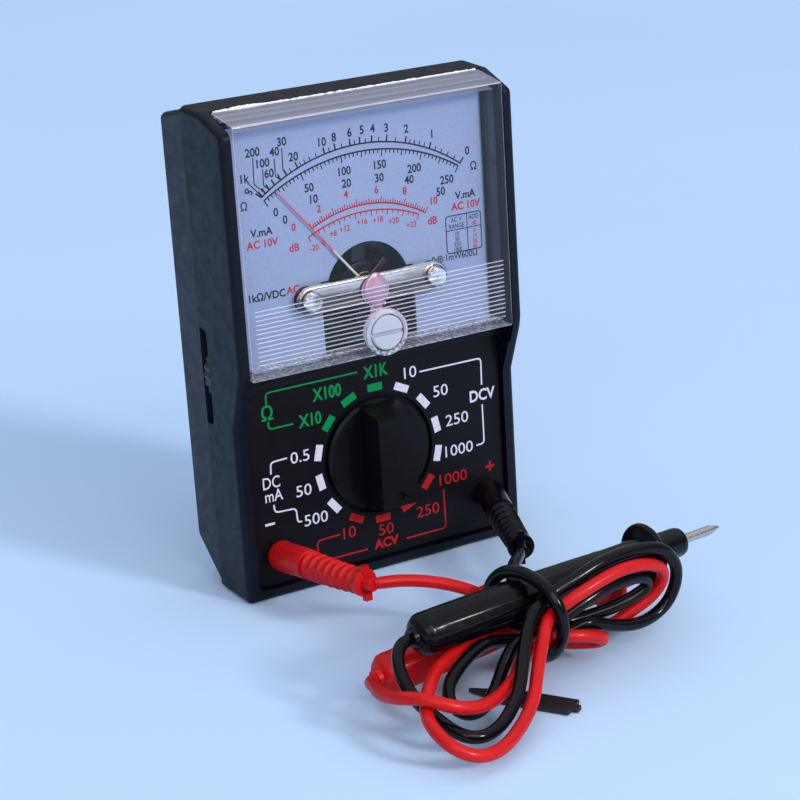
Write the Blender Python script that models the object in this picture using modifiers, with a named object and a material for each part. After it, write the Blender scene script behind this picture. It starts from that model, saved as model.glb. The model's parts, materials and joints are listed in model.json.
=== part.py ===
"""Pocket analog multimeter with a moving-coil movement, a rotary selector and a tied bundle of test leads.

Lengths are in millimetres and become metres through MM. X runs to the right as the user sees the
front, Z is up and the front faces -Y. "Front" numbers are distances forward of the parting plane
between the front case and the rear cover, so a front of 10 lies at Y = -10 mm. The origin is on the
parting plane, at the middle of the bottom edge.
"""

import math

import bmesh
import bpy
import numpy as np
from mathutils import Matrix, Vector

MM = 0.001
OBJECT_NAME = "analog_multimeter"
GAP = 0.3

# Case
CASE_WIDTH = 65.0
CASE_HEIGHT = 100.0
WALL = 2.2
INNER_HALF = 29.0
REAR_DEPTH = 10.5
REAR_WALL = 1.6
RIM_FRONT = 12.5
PANEL_FRONT = 11.3
FLOOR_FRONT = 10.2
FLOOR_BACK = 8.6
PANEL_TOP = 44.6
EDGE_SOFTENING = 1.2

# Window and dial
WINDOW_FRONT = 17.4
WINDOW_HALF = 30.0
WINDOW_BOTTOM = 47.5
WINDOW_WALL = 1.4
WINDOW_TOP_FRONT = 97.9
WINDOW_TOP_BACK = 99.5
WINDOW_BACK = 8.4
DIAL_FRONT = 11.5
DIAL_BACK = 10.9

# Movement
PIVOT_Z = 60.0
PIVOT = (0.0, PIVOT_Z)
REST_ANGLE = math.radians(-40.0)
POINTER_LENGTH = 29.6
BRIDGE_HALF = 14.2
BRIDGE_Z = 60.3
ZERO_Z = 52.1
ZERO_THROW = 1.0
ZERO_PIN = 0.5

# Selector
KNOB_Z = 24.9
POSITIONS = 14
KNOB_RADIUS = 11.8
KNOB_FRONT = 19.5
HUB_RADIUS = 7.0
CARRIER_RADIUS = 11.0
DETENT_RADIUS = 12.2
DETENT_FRONT = 5.7

# Ohm-zero thumbwheel
WHEEL = (-23.6, 45.8)
WHEEL_RADIUS = 9.0

# Circuit board and battery
BOARD_FRONT = -0.6
BOARD_BACK = -2.0
CELL_Z = 84.0
CELL_RADIUS = 7.1
CELL_HALF = 25.0

# Jacks and leads
JACK_NEGATIVE = (-24.5, 9.0)
JACK_POSITIVE = (25.3, 10.6)
SLEEVE_RADIUS = 3.4
PIN_RADIUS = 1.9
WIRE_RADIUS = 1.25
WIRE_STEP = 1.5
BOOT_RADIUS = 4.0
PROBE_RADIUS = 4.0
PROBE_HANDLE = 54.0
PROBE_LENGTH = 74.5
# Probe axes: the handle's rear end and the tip, as (x, y, z).
BLACK_PROBE = ((-30.4, -75.8, 15.3), (42.4, -67.4, 15.0))
RED_PROBE = ((-34.2, -68.3, 5.9), (39.6, -58.9, 8.6))
STRAP_MIDDLE = (-13.2, -82.6)
STRAP_ANGLE = math.radians(-58.0)
STRAP_LENGTH = 21.0
STRAP_WIDTH = 5.0
STRAP_THICK = 0.9

REAR_SCREWS = ((-26.4, 19.0), (26.4, 19.0), (-26.4, 95.0), (26.4, 95.0))
BOARD_SCREWS = ((-10.0, 44.0), (10.0, 44.0))
MOVEMENT_SCREWS = ((-24.8, 60.0), (24.8, 60.0))

# Turns a shape's local Z towards the front, the rear or the right.
TO_FRONT = Matrix.Rotation(math.pi / 2, 4, "X")
TO_REAR = Matrix.Rotation(-math.pi / 2, 4, "X")
TO_RIGHT = Matrix.Rotation(math.pi / 2, 4, "Y")
# Turns a side outline drawn as (front, height) into the vertical plane across X.
TO_SIDE = Matrix(((0, 0, -1, 0), (-1, 0, 0, 0), (0, 1, 0, 0), (0, 0, 0, 1)))


# ---------------------------------------------------------------- helpers

def clear_scene():
    for old in list(bpy.data.objects):
        bpy.data.objects.remove(old, do_unlink=True)


def new_collection(name, hidden=False):
    collection = bpy.data.collections.new(name)
    collection.hide_render = hidden
    bpy.context.scene.collection.children.link(collection)
    return collection


def finish_of(name, colour, roughness, metallic=0.0, transmission=0.0):
    """A Principled material."""
    material = bpy.data.materials.new(name)
    material.use_nodes = True
    shader = material.node_tree.nodes["Principled BSDF"]
    shader.inputs["Base Color"].default_value = (*colour, 1.0)
    shader.inputs["Roughness"].default_value = roughness
    shader.inputs["Metallic"].default_value = metallic
    shader.inputs["Transmission Weight"].default_value = transmission
    material.diffuse_color = (*colour, 1.0)
    return material


def spot(x, front, z):
    """World position in metres of a place given in millimetres."""
    return Vector((x, -front, z)) * MM


def keep(obj, finish, matrix):
    """File an object with the parts, or with the cutters when it has no finish."""
    obj.matrix_world = matrix
    if finish is None:
        CUTTERS.objects.link(obj)
        obj.hide_render = True
        obj.display_type = "WIRE"
    else:
        PARTS.objects.link(obj)
        obj.data.materials.append(finish)
    return obj


def turned(name, profile, finish=None, at=(0, 0, 0), turn=TO_FRONT, sides=24, ring=False):
    """A lathe shape. The profile is (radius, height) from the axis at the top down the outer side.

    A ring's profile closes on itself and doesn't touch the axis.
    """
    mesh = bpy.data.meshes.new(name)
    points = [(radius * MM, 0, height * MM) for radius, height in profile]
    edges = [(i, i + 1) for i in range(len(points) - 1)]
    if ring:
        edges.append((len(points) - 1, 0))
    mesh.from_pydata(points, edges, [])
    obj = keep(bpy.data.objects.new(name, mesh), finish, Matrix.Translation(spot(*at)) @ turn)
    screw = obj.modifiers.new("turn", "SCREW")
    screw.steps = screw.render_steps = sides
    screw.use_merge_vertices = True
    screw.merge_threshold = 0.00001
    screw.use_smooth_shade = True
    return obj


def rod(name, radius, back, front, finish=None, at=(0, 0), sides=20, hole=0.0):
    """A cylinder or tube along Y, between two front distances."""
    profile = [(hole, front), (radius, front), (radius, back), (hole, back)]
    return turned(name, profile, finish, (at[0], 0, at[1]), sides=sides, ring=hole > 0)


def as_mesh(obj, finish, weld=0.000001):
    """Replace a curve object by the mesh it makes, with its caps welded."""
    bpy.context.view_layer.update()
    shape = obj.evaluated_get(bpy.context.evaluated_depsgraph_get())
    mesh = bpy.data.meshes.new_from_object(shape)
    work = bmesh.new()
    work.from_mesh(mesh)
    bmesh.ops.remove_doubles(work, verts=work.verts, dist=weld)
    bmesh.ops.recalc_face_normals(work, faces=work.faces)
    work.to_mesh(mesh)
    work.free()
    name = obj.name
    matrix = obj.matrix_world.copy()
    bpy.data.objects.remove(obj, do_unlink=True)
    mesh.materials.clear()
    mesh.name = name
    return keep(bpy.data.objects.new(name, mesh), finish, matrix)


def prism(name, outline, matrix, thickness, finish=None):
    """A flat outline made solid, with its mid-plane on the matrix's XY plane."""
    curve = bpy.data.curves.new(name, "CURVE")
    curve.dimensions = "2D"
    curve.fill_mode = "BOTH"
    curve.extrude = thickness / 2 * MM
    spline = curve.splines.new("POLY")
    spline.points.add(len(outline) - 1)
    for point, (across, up) in zip(spline.points, outline):
        point.co = (across * MM, up * MM, 0, 1)
    spline.use_cyclic_u = True
    guide = bpy.data.objects.new(name, curve)
    CUTTERS.objects.link(guide)
    guide.matrix_world = matrix
    return as_mesh(guide, finish)


def plate(name, outline, back, front, finish=None, at=(0, 0), angle=0.0):
    """A prism facing the front. Its outline is (x, z) about the point at, turned clockwise."""
    place = Matrix.Translation(spot(at[0], (back + front) / 2, at[1]))
    tilt = Matrix.Rotation(angle, 4, "Y")
    return prism(name, outline, place @ tilt @ TO_FRONT, front - back, finish)


def side_prism(name, outline, half_width, finish=None, x=0.0):
    """A prism across X from a side outline of (front, z) points."""
    place = Matrix.Translation(spot(x, 0, 0))
    return prism(name, outline, place @ TO_SIDE, 2 * half_width, finish)


def box(name, low, high, finish=None, soften=0.0):
    """A block between two corners, each (x, front, z)."""
    work = bmesh.new()
    bmesh.ops.create_cube(work, size=1.0)
    size = [abs(b - a) * MM for a, b in zip(low, high)]
    bmesh.ops.scale(work, vec=size, verts=work.verts)
    mesh = bpy.data.meshes.new(name)
    work.to_mesh(mesh)
    work.free()
    middle = [(a + b) / 2 for a, b in zip(low, high)]
    obj = keep(bpy.data.objects.new(name, mesh), finish, Matrix.Translation(spot(*middle)))
    if soften:
        bevel(obj, soften)
    return obj


def bevel(obj, width, segments=2, angle=40.0):
    modifier = obj.modifiers.new("soft_edges", "BEVEL")
    modifier.width = width * MM
    modifier.segments = segments
    modifier.limit_method = "ANGLE"
    modifier.angle_limit = math.radians(angle)
    return obj


def tube(name, points, radius, finish, at=(0, 0, 0), swell=None, resolution=2):
    """A round wire through points (x, y, z) from the place at. swell scales its radius point by point."""
    curve = bpy.data.curves.new(name, "CURVE")
    curve.dimensions = "3D"
    curve.bevel_depth = radius * MM
    curve.bevel_resolution = resolution
    curve.use_fill_caps = True
    spline = curve.splines.new("POLY")
    spline.points.add(len(points) - 1)
    for index, (point, place) in enumerate(zip(spline.points, points)):
        point.co = (*(float(v) * MM for v in place), 1)
        point.radius = swell[index] if swell else 1.0
    guide = bpy.data.objects.new(name, curve)
    CUTTERS.objects.link(guide)
    guide.matrix_world = Matrix.Translation(spot(*at))
    obj = as_mesh(guide, finish)
    obj.data.shade_smooth()
    return obj


def combine(obj, tool, operation):
    modifier = obj.modifiers.new(tool.name, "BOOLEAN")
    modifier.operation = operation
    modifier.object = tool
    return obj


def cut(obj, *tools):
    for tool in tools:
        combine(obj, tool, "DIFFERENCE")
    return obj


def join(obj, *tools):
    for tool in tools:
        combine(obj, tool, "UNION")
    return obj


def arc(centre, radius, start, end, steps):
    """Points on an arc, angles in degrees, including both ends."""
    angles = [math.radians(start + (end - start) * i / steps) for i in range(steps + 1)]
    return [(centre[0] + radius * math.cos(a), centre[1] + radius * math.sin(a)) for a in angles]


def rounded(low, high, radius, steps=3):
    """Outline of a rectangle with round corners, from the lower left corner to the upper right."""
    x0, z0 = low[0] + radius, low[1] + radius
    x1, z1 = high[0] - radius, high[1] - radius
    outline = arc((x1, z0), radius, -90, 0, steps)
    outline += arc((x1, z1), radius, 0, 90, steps)
    outline += arc((x0, z1), radius, 90, 180, steps)
    outline += arc((x0, z0), radius, 180, 270, steps)
    return outline


def slotted_screw(name, at, facing, finish, head, neck, shank, tip, slot=0.0):
    """A screw along Y. head and shank are radii. Its head spans facing to neck, its shank to tip."""
    outward = 1 if facing > neck else -1
    turn = TO_FRONT if outward > 0 else TO_REAR
    profile = [(0, facing), (head - 0.3, facing), (head, facing - 0.3 * outward), (head, neck),
               (shank, neck), (shank, tip), (0, tip)]
    profile = [(radius, height * outward) for radius, height in profile]
    obj = turned(name, profile, finish, (at[0], 0, at[1]), turn, sides=16)
    if slot:
        low = (at[0] - head - 1, facing - slot * outward, at[1] - 0.25)
        high = (at[0] + head + 1, facing + outward, at[1] + 0.25)
        cut(obj, box(name + "_slot", low, high))
    return obj


# ---------------------------------------------------------------- case

def front_case(finish):
    """Front shell: floor behind the panel, side walls that rise beside the window, and bosses."""
    profile = [(0, 0), (RIM_FRONT, 0), (RIM_FRONT, 36.5), (16.6, 46.5), (17.1, 49.0),
               (17.1, 96.4), (8.3, 99.6), (0, CASE_HEIGHT)]
    case = side_prism("front_case", profile, CASE_WIDTH / 2, finish)
    weigh_front_edges(case)
    cavity = [(-2, WALL), (FLOOR_BACK, WALL), (FLOOR_BACK, 48.7), (10.8, 48.7), (10.8, 96), (-2, 96)]
    cut(case, side_prism("case_cavity", cavity, INNER_HALF))
    half = WINDOW_HALF + GAP
    cut(case, box("window_recess", (-half, 10.6, 47.2), (half, 20, 102)))
    cut(case, box("window_flange_recess", (-half, WINDOW_BACK - GAP, 97.9), (half, 20, 102)))
    cut(case, box("ledge_cut", (-half, 12.0, PANEL_TOP - 1), (half, 20, 48)))
    recess = rounded((-29.9, 2.2), (29.9, PANEL_TOP), 1.5)
    cut(case, plate("panel_recess", recess, FLOOR_FRONT, 20))
    for index, at in enumerate(REAR_SCREWS):
        front = 8.9 if at[1] < 50 else 8.0
        join(case, rod(f"case_boss_{index}", 2.9, 0.15, front, at=at, sides=16))
    for index, at in enumerate(BOARD_SCREWS):
        join(case, rod(f"board_boss_{index}", 2.0, BOARD_FRONT + GAP, 8.9, at=at, sides=12))
    for index, (x, z) in enumerate(MOVEMENT_SCREWS):
        outer = math.copysign(29.6, x)
        inner = math.copysign(22.4, x)
        join(case, box(f"movement_seat_{index}", (inner, 1.2, z - 3.2), (outer, 9.9, z + 3.2)))
    ring = [(DETENT_RADIUS, 8.9), (13.8, 8.9), (13.8, 4.2), (DETENT_RADIUS, 4.2)]
    join(case, turned("detent_ring", ring, at=(0, 0, KNOB_Z), sides=42, ring=True))
    for index in range(POSITIONS):
        angle = 2 * math.pi * index / POSITIONS
        at = (12.7 * math.sin(angle), KNOB_Z + 12.7 * math.cos(angle))
        cut(case, rod(f"detent_notch_{index}", 0.9, 3.0, 8.4, at=at, sides=8))
    cut(case, rod("hub_hole", HUB_RADIUS + 0.4, 8.0, 11.0, at=(0, KNOB_Z), sides=32))
    for index, at in enumerate((JACK_NEGATIVE, JACK_POSITIVE)):
        cut(case, rod(f"jack_hole_{index}", SLEEVE_RADIUS + GAP, 8.0, 11.0, at=at, sides=20))
    for index, at in enumerate(REAR_SCREWS + MOVEMENT_SCREWS + BOARD_SCREWS):
        cut(case, rod(f"screw_hole_{index}", 1.2, -3, 6.5, at=at, sides=12))
    slot = [(-6, 35.9), (1.9, 35.9)] + arc((1.9, 37.2), 1.3, -90, 0, 3)[1:]
    slot += arc((1.9, 54.4), 1.3, 0, 90, 3) + [(-6, 55.7)]
    cut(case, side_prism("wheel_slot", slot, 3.0, x=-31.0))
    return case


def weigh_front_edges(case):
    """Soften the long edges of the shell, but leave the ones on the parting plane crisp."""
    mesh = case.data
    mesh.attributes.new("bevel_weight_edge", "FLOAT", "EDGE")
    work = bmesh.new()
    work.from_mesh(mesh)
    bmesh.ops.dissolve_limit(work, angle_limit=0.001, verts=work.verts, edges=work.edges)
    layer = work.edges.layers.float["bevel_weight_edge"]
    for edge in work.edges:
        fronts = [abs((case.matrix_world @ v.co).y) for v in edge.verts]
        sharp = edge.calc_face_angle(0) > math.radians(25)
        if sharp and max(fronts) > 0.0005:
            edge[layer] = 1.0
    work.to_mesh(mesh)
    work.free()
    modifier = case.modifiers.new("soft_edges", "BEVEL")
    modifier.width = EDGE_SOFTENING * MM
    modifier.segments = 3
    modifier.limit_method = "WEIGHT"


def rear_cover(finish):
    """Rear shell with a chamfered foot, screw towers and a wall over the battery."""
    outer = [(0, 0.5), (-2.5, 2.2), (-REAR_DEPTH, 8.6), (-REAR_DEPTH, 97.2), (0, 99.4)]
    cover = side_prism("rear_cover", outer, CASE_WIDTH / 2 - 0.15, finish)
    weigh_front_edges(cover)
    back = REAR_WALL - REAR_DEPTH
    inner = [(2, 2.6), (-2.2, 4.2), (back, 9.4), (back, 95.8), (2, 97.6)]
    cut(cover, side_prism("cover_cavity", inner, CASE_WIDTH / 2 - 1.9))
    face = -GAP / 2
    cut(cover, side_prism("cover_face", [(face, -2), (5, -2), (5, 102), (face, 102)], 40))
    for index, at in enumerate(REAR_SCREWS):
        join(cover, rod(f"cover_tower_{index}", 3.1, back - 0.5, -0.5, at=at, sides=16))
    for index, at in enumerate(REAR_SCREWS):
        cut(cover, rod(f"cover_hole_{index}", 1.4, -20, 2, at=at, sides=12))
        cut(cover, rod(f"cover_sink_{index}", 2.6, -20, -4.0, at=at, sides=16))
    return cover


def faceplate(finish):
    """Thin printed panel in its recess, with holes for the knob and the two jacks."""
    panel = plate("faceplate", rounded((-29.6, 2.5), (29.6, PANEL_TOP - GAP), 1.4),
                  FLOOR_FRONT + GAP, PANEL_FRONT, finish)
    cut(panel, rod("knob_opening", 12.6, 8, 14, at=(0, KNOB_Z), sides=48))
    for index, at in enumerate((JACK_NEGATIVE, JACK_POSITIVE)):
        cut(panel, rod(f"jack_opening_{index}", SLEEVE_RADIUS, 8, 14, at=at, sides=24))
    return panel


def window_lens(finish):
    """Clear box over the dial, open at the back, with a boss round the zero-adjust screw."""
    outer = [(11.8, WINDOW_BOTTOM), (WINDOW_FRONT, WINDOW_BOTTOM), (WINDOW_FRONT, WINDOW_TOP_FRONT),
             (WINDOW_BACK, WINDOW_TOP_BACK), (WINDOW_BACK, 98.2), (11.8, 98.2)]
    lens = side_prism("window_lens", outer, WINDOW_HALF, finish)
    weigh_lens_edges(lens)
    front = WINDOW_FRONT - WINDOW_WALL
    inner = [(5, WINDOW_BOTTOM + WINDOW_WALL), (front, WINDOW_BOTTOM + WINDOW_WALL),
             (front, 96.5), (12, 97.3), (5, 97.3)]
    cut(lens, side_prism("lens_hollow", inner, WINDOW_HALF - WINDOW_WALL))
    join(lens, rod("zero_boss", 4.7, 16.2, 18.1, at=(0, ZERO_Z), sides=28))
    cut(lens, rod("zero_hole", 3.85, 12, 20, at=(0, ZERO_Z), sides=28))
    return lens


def weigh_lens_edges(lens):
    """Soften the edges that show on the window's front and sides."""
    modifier = lens.modifiers.new("soft_edges", "BEVEL")
    modifier.width = 0.5 * MM
    modifier.segments = 2
    modifier.limit_method = "ANGLE"
    modifier.angle_limit = math.radians(60)


def rear_screws(finish):
    for index, at in enumerate(REAR_SCREWS):
        slotted_screw(f"rear_screw_{index + 1}", at, -6.0, finish, 2.3, -4.3, 1.1, 5.8, slot=0.6)


# ---------------------------------------------------------------- movement

def dial_plate(finish):
    """Scale plate, open over the movement down to its foot, with clearance for the bridge columns."""
    dial = plate("dial_plate", rounded((-29.4, 47.8), (29.4, 96.4), 0.8), DIAL_BACK, DIAL_FRONT, finish)
    radius, half, shoulder = 9.5, 10.6, 63.1
    lean = math.degrees(math.asin((shoulder - PIVOT_Z) / radius))
    opening = [(half, 47.0), (half, shoulder)] + arc(PIVOT, radius, lean, 180 - lean, 14)
    opening += [(-half, shoulder), (-half, 47.0)]
    cut(dial, plate("dial_opening", opening, 8, 14))
    for side in (-1, 1):
        cut(dial, rod(f"column_hole_{side}", 2.7, 8, 14, at=(side * BRIDGE_HALF, BRIDGE_Z)))
    return dial


def movement_frame(finish):
    """Base of the movement: a plate across the case with two columns that carry the bridge."""
    outline = rounded((-27.6, 56.6), (27.6, 63.4), 1.0)
    frame = plate("movement_frame", outline, -0.4, 0.8, finish)
    join(frame, rod("frame_disc", 11.5, -0.35, 0.75, at=PIVOT, sides=32))
    for side in (-1, 1):
        join(frame, rod(f"frame_column_{side}", 2.3, 0.2, 12.6, at=(side * BRIDGE_HALF, BRIDGE_Z)))
        cut(frame, rod(f"column_thread_{side}", 1.15, 7.0, 14, at=(side * BRIDGE_HALF, BRIDGE_Z), sides=12))
    cut(frame, rod("rear_jewel_seat", 1.3, -3, 3, at=PIVOT, sides=16))
    for index, at in enumerate(MOVEMENT_SCREWS):
        cut(frame, rod(f"frame_hole_{index}", 1.4, -3, 3, at=at, sides=12))
    return frame


def magnet_system(iron, magnet):
    """Iron ring with two feet towards the core, and the round magnet at its centre."""
    ring = [(8.0, 8.4), (10.6, 8.4), (10.6, 3.6), (8.0, 3.6)]
    yoke = turned("yoke_ring", ring, iron, (0, 0, PIVOT_Z), sides=40, ring=True)
    for side in (-1, 1):
        z = PIVOT_Z + side * 6.55
        join(yoke, box(f"yoke_foot_{side}", (-1.4, 4.0, z - 1.65), (1.4, 8.0, z + 1.65)))
    rod("core_magnet", 4.6, 3.6, 8.4, magnet, PIVOT, sides=28)


def moving_coil(finish):
    """Wound frame round the core, on its staff. It lies across the scale's middle at rest angle."""
    tilt = Matrix.Rotation(REST_ANGLE, 4, "Y")
    coil = box("moving_coil", (-7.1, 2.4, PIVOT_Z - 0.8), (7.1, 9.6, PIVOT_Z + 0.8), finish, soften=0.4)
    window = box("coil_window", (-5.6, 3.2, PIVOT_Z - 2), (5.6, 8.8, PIVOT_Z + 2))
    for obj in (coil, window):
        middle = obj.matrix_world.translation.copy()
        obj.matrix_world = Matrix.Translation(middle) @ tilt
    cut(coil, window)
    join(coil, rod("front_staff", 0.7, 9.2, 12.5, at=PIVOT, sides=12))
    join(coil, rod("rear_staff", 0.7, 1.0, 2.8, at=PIVOT, sides=12))
    return coil


def pointer(finish):
    """Needle with a hub ring and a short balance tail."""
    tail, half_root, half_tip = -5.0, 0.45, 0.16
    outline = [(-half_root, tail), (half_root, tail), (half_root, 8.0), (half_tip, POINTER_LENGTH),
               (-half_tip, POINTER_LENGTH), (-half_root, 8.0)]
    needle = plate("pointer", outline, 12.0, 12.25, finish, PIVOT, REST_ANGLE)
    join(needle, rod("needle_hub", 1.7, 11.9, 12.35, at=PIVOT, sides=16))
    arms = plate("balance_arms", [(-3.4, -0.35), (3.4, -0.35), (3.4, 0.35), (-3.4, 0.35)],
                 11.95, 12.3, None, PIVOT, REST_ANGLE)
    join(needle, arms)
    cut(needle, rod("needle_bore", 1.0, 10, 14, at=PIVOT, sides=12))
    return needle


def hairspring(name, front, finish):
    """Flat spiral spring round the staff."""
    turns, inner, outer, steps = 3.0, 1.2, 3.6, 42
    points = []
    for index in range(steps + 1):
        part = index / steps
        angle = 2 * math.pi * turns * part
        radius = inner + (outer - inner) * part
        points.append((radius * math.cos(angle), 0, radius * math.sin(angle)))
    return tube(name, points, 0.13, finish, (0, front, PIVOT_Z), resolution=0)


def bridge(finish):
    """Bar with round ends over the pivot."""
    outline = arc((BRIDGE_HALF, 0), 2.9, -90, 90, 8) + arc((-BRIDGE_HALF, 0), 2.9, 90, 270, 8)
    bar = plate("bridge", outline, 12.9, 13.7, finish, (0, BRIDGE_Z))
    bevel(bar, 0.15, 1, 60)
    cut(bar, rod("front_jewel_seat", 1.9, 10, 16, at=PIVOT, sides=20))
    for side in (-1, 1):
        cut(bar, rod(f"bridge_hole_{side}", 1.3, 10, 16, at=(side * BRIDGE_HALF, BRIDGE_Z), sides=14))
    return bar


def movement_fasteners(steel, brass):
    for name, side in (("bridge_screw_left", -1), ("bridge_screw_right", 1)):
        at = (side * BRIDGE_HALF, BRIDGE_Z)
        slotted_screw(name, at, 15.2, steel, 2.1, 14.0, 1.0, 8.5, slot=0.6)
    front = [(0, 14.9), (1.5, 14.9), (1.6, 14.8), (1.6, 13.0), (0.8, 12.8), (0, 12.8)]
    turned("front_jewel_screw", front, brass, (0, 0, PIVOT_Z), sides=16)
    rear = [(0, 0.7), (1.0, 0.7), (1.0, -1.6), (0, -1.6)]
    turned("rear_jewel_screw", rear, brass, (0, 0, PIVOT_Z), sides=16)
    for name, at in zip(("movement_screw_left", "movement_screw_right"), MOVEMENT_SCREWS):
        slotted_screw(name, at, -1.8, steel, 2.2, -0.7, 1.0, 5.5, slot=0.5)


def zero_adjuster(lever_finish, screw_finish):
    """Slotted disc in the window. Its pin, off the axis, swings a forked lever round the pivot."""
    reach = ZERO_THROW + ZERO_Z - PIVOT_Z
    slot_half = ZERO_PIN + 0.3
    lever = turned("zero_lever", [(1.9, 14.3), (3.1, 14.3), (3.1, 14.0), (1.9, 14.0)], lever_finish,
                   (0, 0, PIVOT_Z), sides=24, ring=True)
    arm = [(-1.7, reach - 1.9), (1.7, reach - 1.9), (1.3, -2.5), (-1.3, -2.5)]
    join(lever, plate("lever_arm", arm, 14.02, 14.28, None, PIVOT))
    fork = [(-slot_half, reach - 4), (slot_half, reach - 4),
            (slot_half, reach + 1.4), (-slot_half, reach + 1.4)]
    cut(lever, plate("lever_fork", fork, 13, 16, None, PIVOT))
    disc = [(0, 18.4), (3.3, 18.4), (3.55, 18.15), (3.55, 15.1), (0, 15.1)]
    screw = turned("zero_adjust_screw", disc, screw_finish, (0, 0, ZERO_Z), sides=28)
    cut(screw, box("zero_slot", (-5, 17.6, ZERO_Z - 0.4), (5, 20, ZERO_Z + 0.4)))
    join(screw, rod("zero_pin", ZERO_PIN, 13.7, 15.4, at=(0, ZERO_Z + ZERO_THROW), sides=10))


# ---------------------------------------------------------------- selector

def selector_knob(finish):
    """Low disc with a tapered grip bar and a hub through the case floor."""
    profile = [(0, 12.1), (11.2, 12.1), (KNOB_RADIUS, 11.5), (KNOB_RADIUS, 10.7), (HUB_RADIUS, 10.7),
               (HUB_RADIUS, 5.6), (0, 5.6)]
    knob = turned("selector_knob", profile, finish, (0, 0, KNOB_Z), sides=40)
    grip = side_prism("knob_grip", [(11.6, -11.2), (KNOB_FRONT, -9.2), (KNOB_FRONT, 9.6), (11.6, 11.2)], 4.2)
    grip.matrix_world = Matrix.Translation(spot(0, 0, KNOB_Z)) @ grip.matrix_world
    for side in (-1, 1):
        flank = [(side * 2.0, 20.5), (side * 2.0, KNOB_FRONT), (side * 2.6, 14.5), (side * 4.0, 12.0),
                 (side * 8.0, 12.0), (side * 8.0, 20.5)]
        place = Matrix.Translation(spot(0, 0, KNOB_Z)) @ Matrix.Rotation(math.pi, 4, "Z")
        outline = [(-x, -front) for x, front in flank]
        cut(grip, prism(f"grip_flank_{side}", outline, place, 40))
    join(knob, grip)
    cut(knob, rod("pointer_recess", 1.0, KNOB_FRONT - 0.8, 22, at=(0, KNOB_Z - 7.0), sides=16))
    cut(knob, rod("knob_thread", 1.3, 2, 9.5, at=(0, KNOB_Z), sides=12))
    return knob


def wiper_carrier(finish):
    """Disc clamped on the hub. A radial pocket in its rim holds the detent ball and spring."""
    profile = [(7.3, 8.0), (CARRIER_RADIUS, 8.0), (CARRIER_RADIUS, 3.4), (3.2, 3.4), (3.2, 4.6),
               (1.5, 4.6), (1.5, 5.3), (7.3, 5.3)]
    carrier = turned("wiper_carrier", profile, finish, (0, 0, KNOB_Z), sides=36, ring=True)
    pocket = [(0, 16), (1.15, 16), (1.15, 7.8), (0, 7.8)]
    place = (0, DETENT_FRONT, KNOB_Z)
    cut(carrier, turned("detent_pocket", pocket, at=place, turn=Matrix.Identity(4), sides=12))
    return carrier


def selector_inner_parts(brass, steel):
    """Wiper spring on the back of the carrier, the detent ball and spring, and the clamping screw."""
    upper = [(-9.0, -0.1), (-7.4, -0.1), (-3.6, 2.8), (3.6, 2.8), (7.4, -0.1), (9.0, -0.1)]
    lower = [(x, front + 0.3) for x, front in reversed(upper)]
    outline = [(x, -front) for x, front in upper + lower]
    prism("wiper_contact", outline, Matrix.Translation(spot(0, 0, KNOB_Z)), 2.0, brass)
    knob_screw = [(0, -3.4), (2.8, -3.4), (2.8, -4.3), (1.1, -4.3), (1.1, -9.0), (0, -9.0)]
    turned("knob_screw", knob_screw, steel, (0, 0, KNOB_Z), TO_REAR, sides=16)
    ball = arc((0, 11.0), 0.9, 90, -90, 6)
    ball[0] = (0, 11.9)
    ball[-1] = (0, 10.1)
    turned("detent_ball", ball, steel, (0, DETENT_FRONT, KNOB_Z), Matrix.Identity(4), sides=12)
    coil = []
    for index in range(25):
        angle = 2 * math.pi * index / 8
        coil.append((0.7 * math.cos(angle), 0.7 * math.sin(angle), 8.1 + 1.7 * index / 24))
    tube("detent_spring", coil, 0.13, steel, (0, DETENT_FRONT, KNOB_Z), resolution=0)


# ---------------------------------------------------------------- electrics

def circuit_board(finish):
    """Board behind the selector, notched round the screw towers."""
    board = plate("circuit_board", rounded((-28.2, 4.8), (28.2, 52.5), 1.0), BOARD_BACK, BOARD_FRONT, finish)
    for index, at in enumerate(REAR_SCREWS[:2]):
        cut(board, rod(f"tower_notch_{index}", 3.5, -5, 5, at=at, sides=20))
    for index, at in enumerate(BOARD_SCREWS):
        cut(board, rod(f"board_hole_{index}", 1.3, -5, 5, at=at, sides=12))
    return board


def board_screws(finish):
    for name, at in zip(("board_screw_left", "board_screw_right"), BOARD_SCREWS):
        slotted_screw(name, at, -3.4, finish, 2.2, -2.3, 1.05, 5.8, slot=0.5)


def axial_part(name, at, length, radius, finish, waist=0.85):
    """A small round component lying across the back of the board."""
    half = length / 2
    profile = [(0, half), (radius, half), (radius, half * 0.55), (radius * waist, half * 0.45),
               (radius * waist, -half * 0.45), (radius, -half * 0.55), (radius, -half), (0, -half)]
    return turned(name, profile, finish, (at[0], BOARD_BACK - GAP - radius, at[1]), TO_RIGHT, sides=12)


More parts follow.
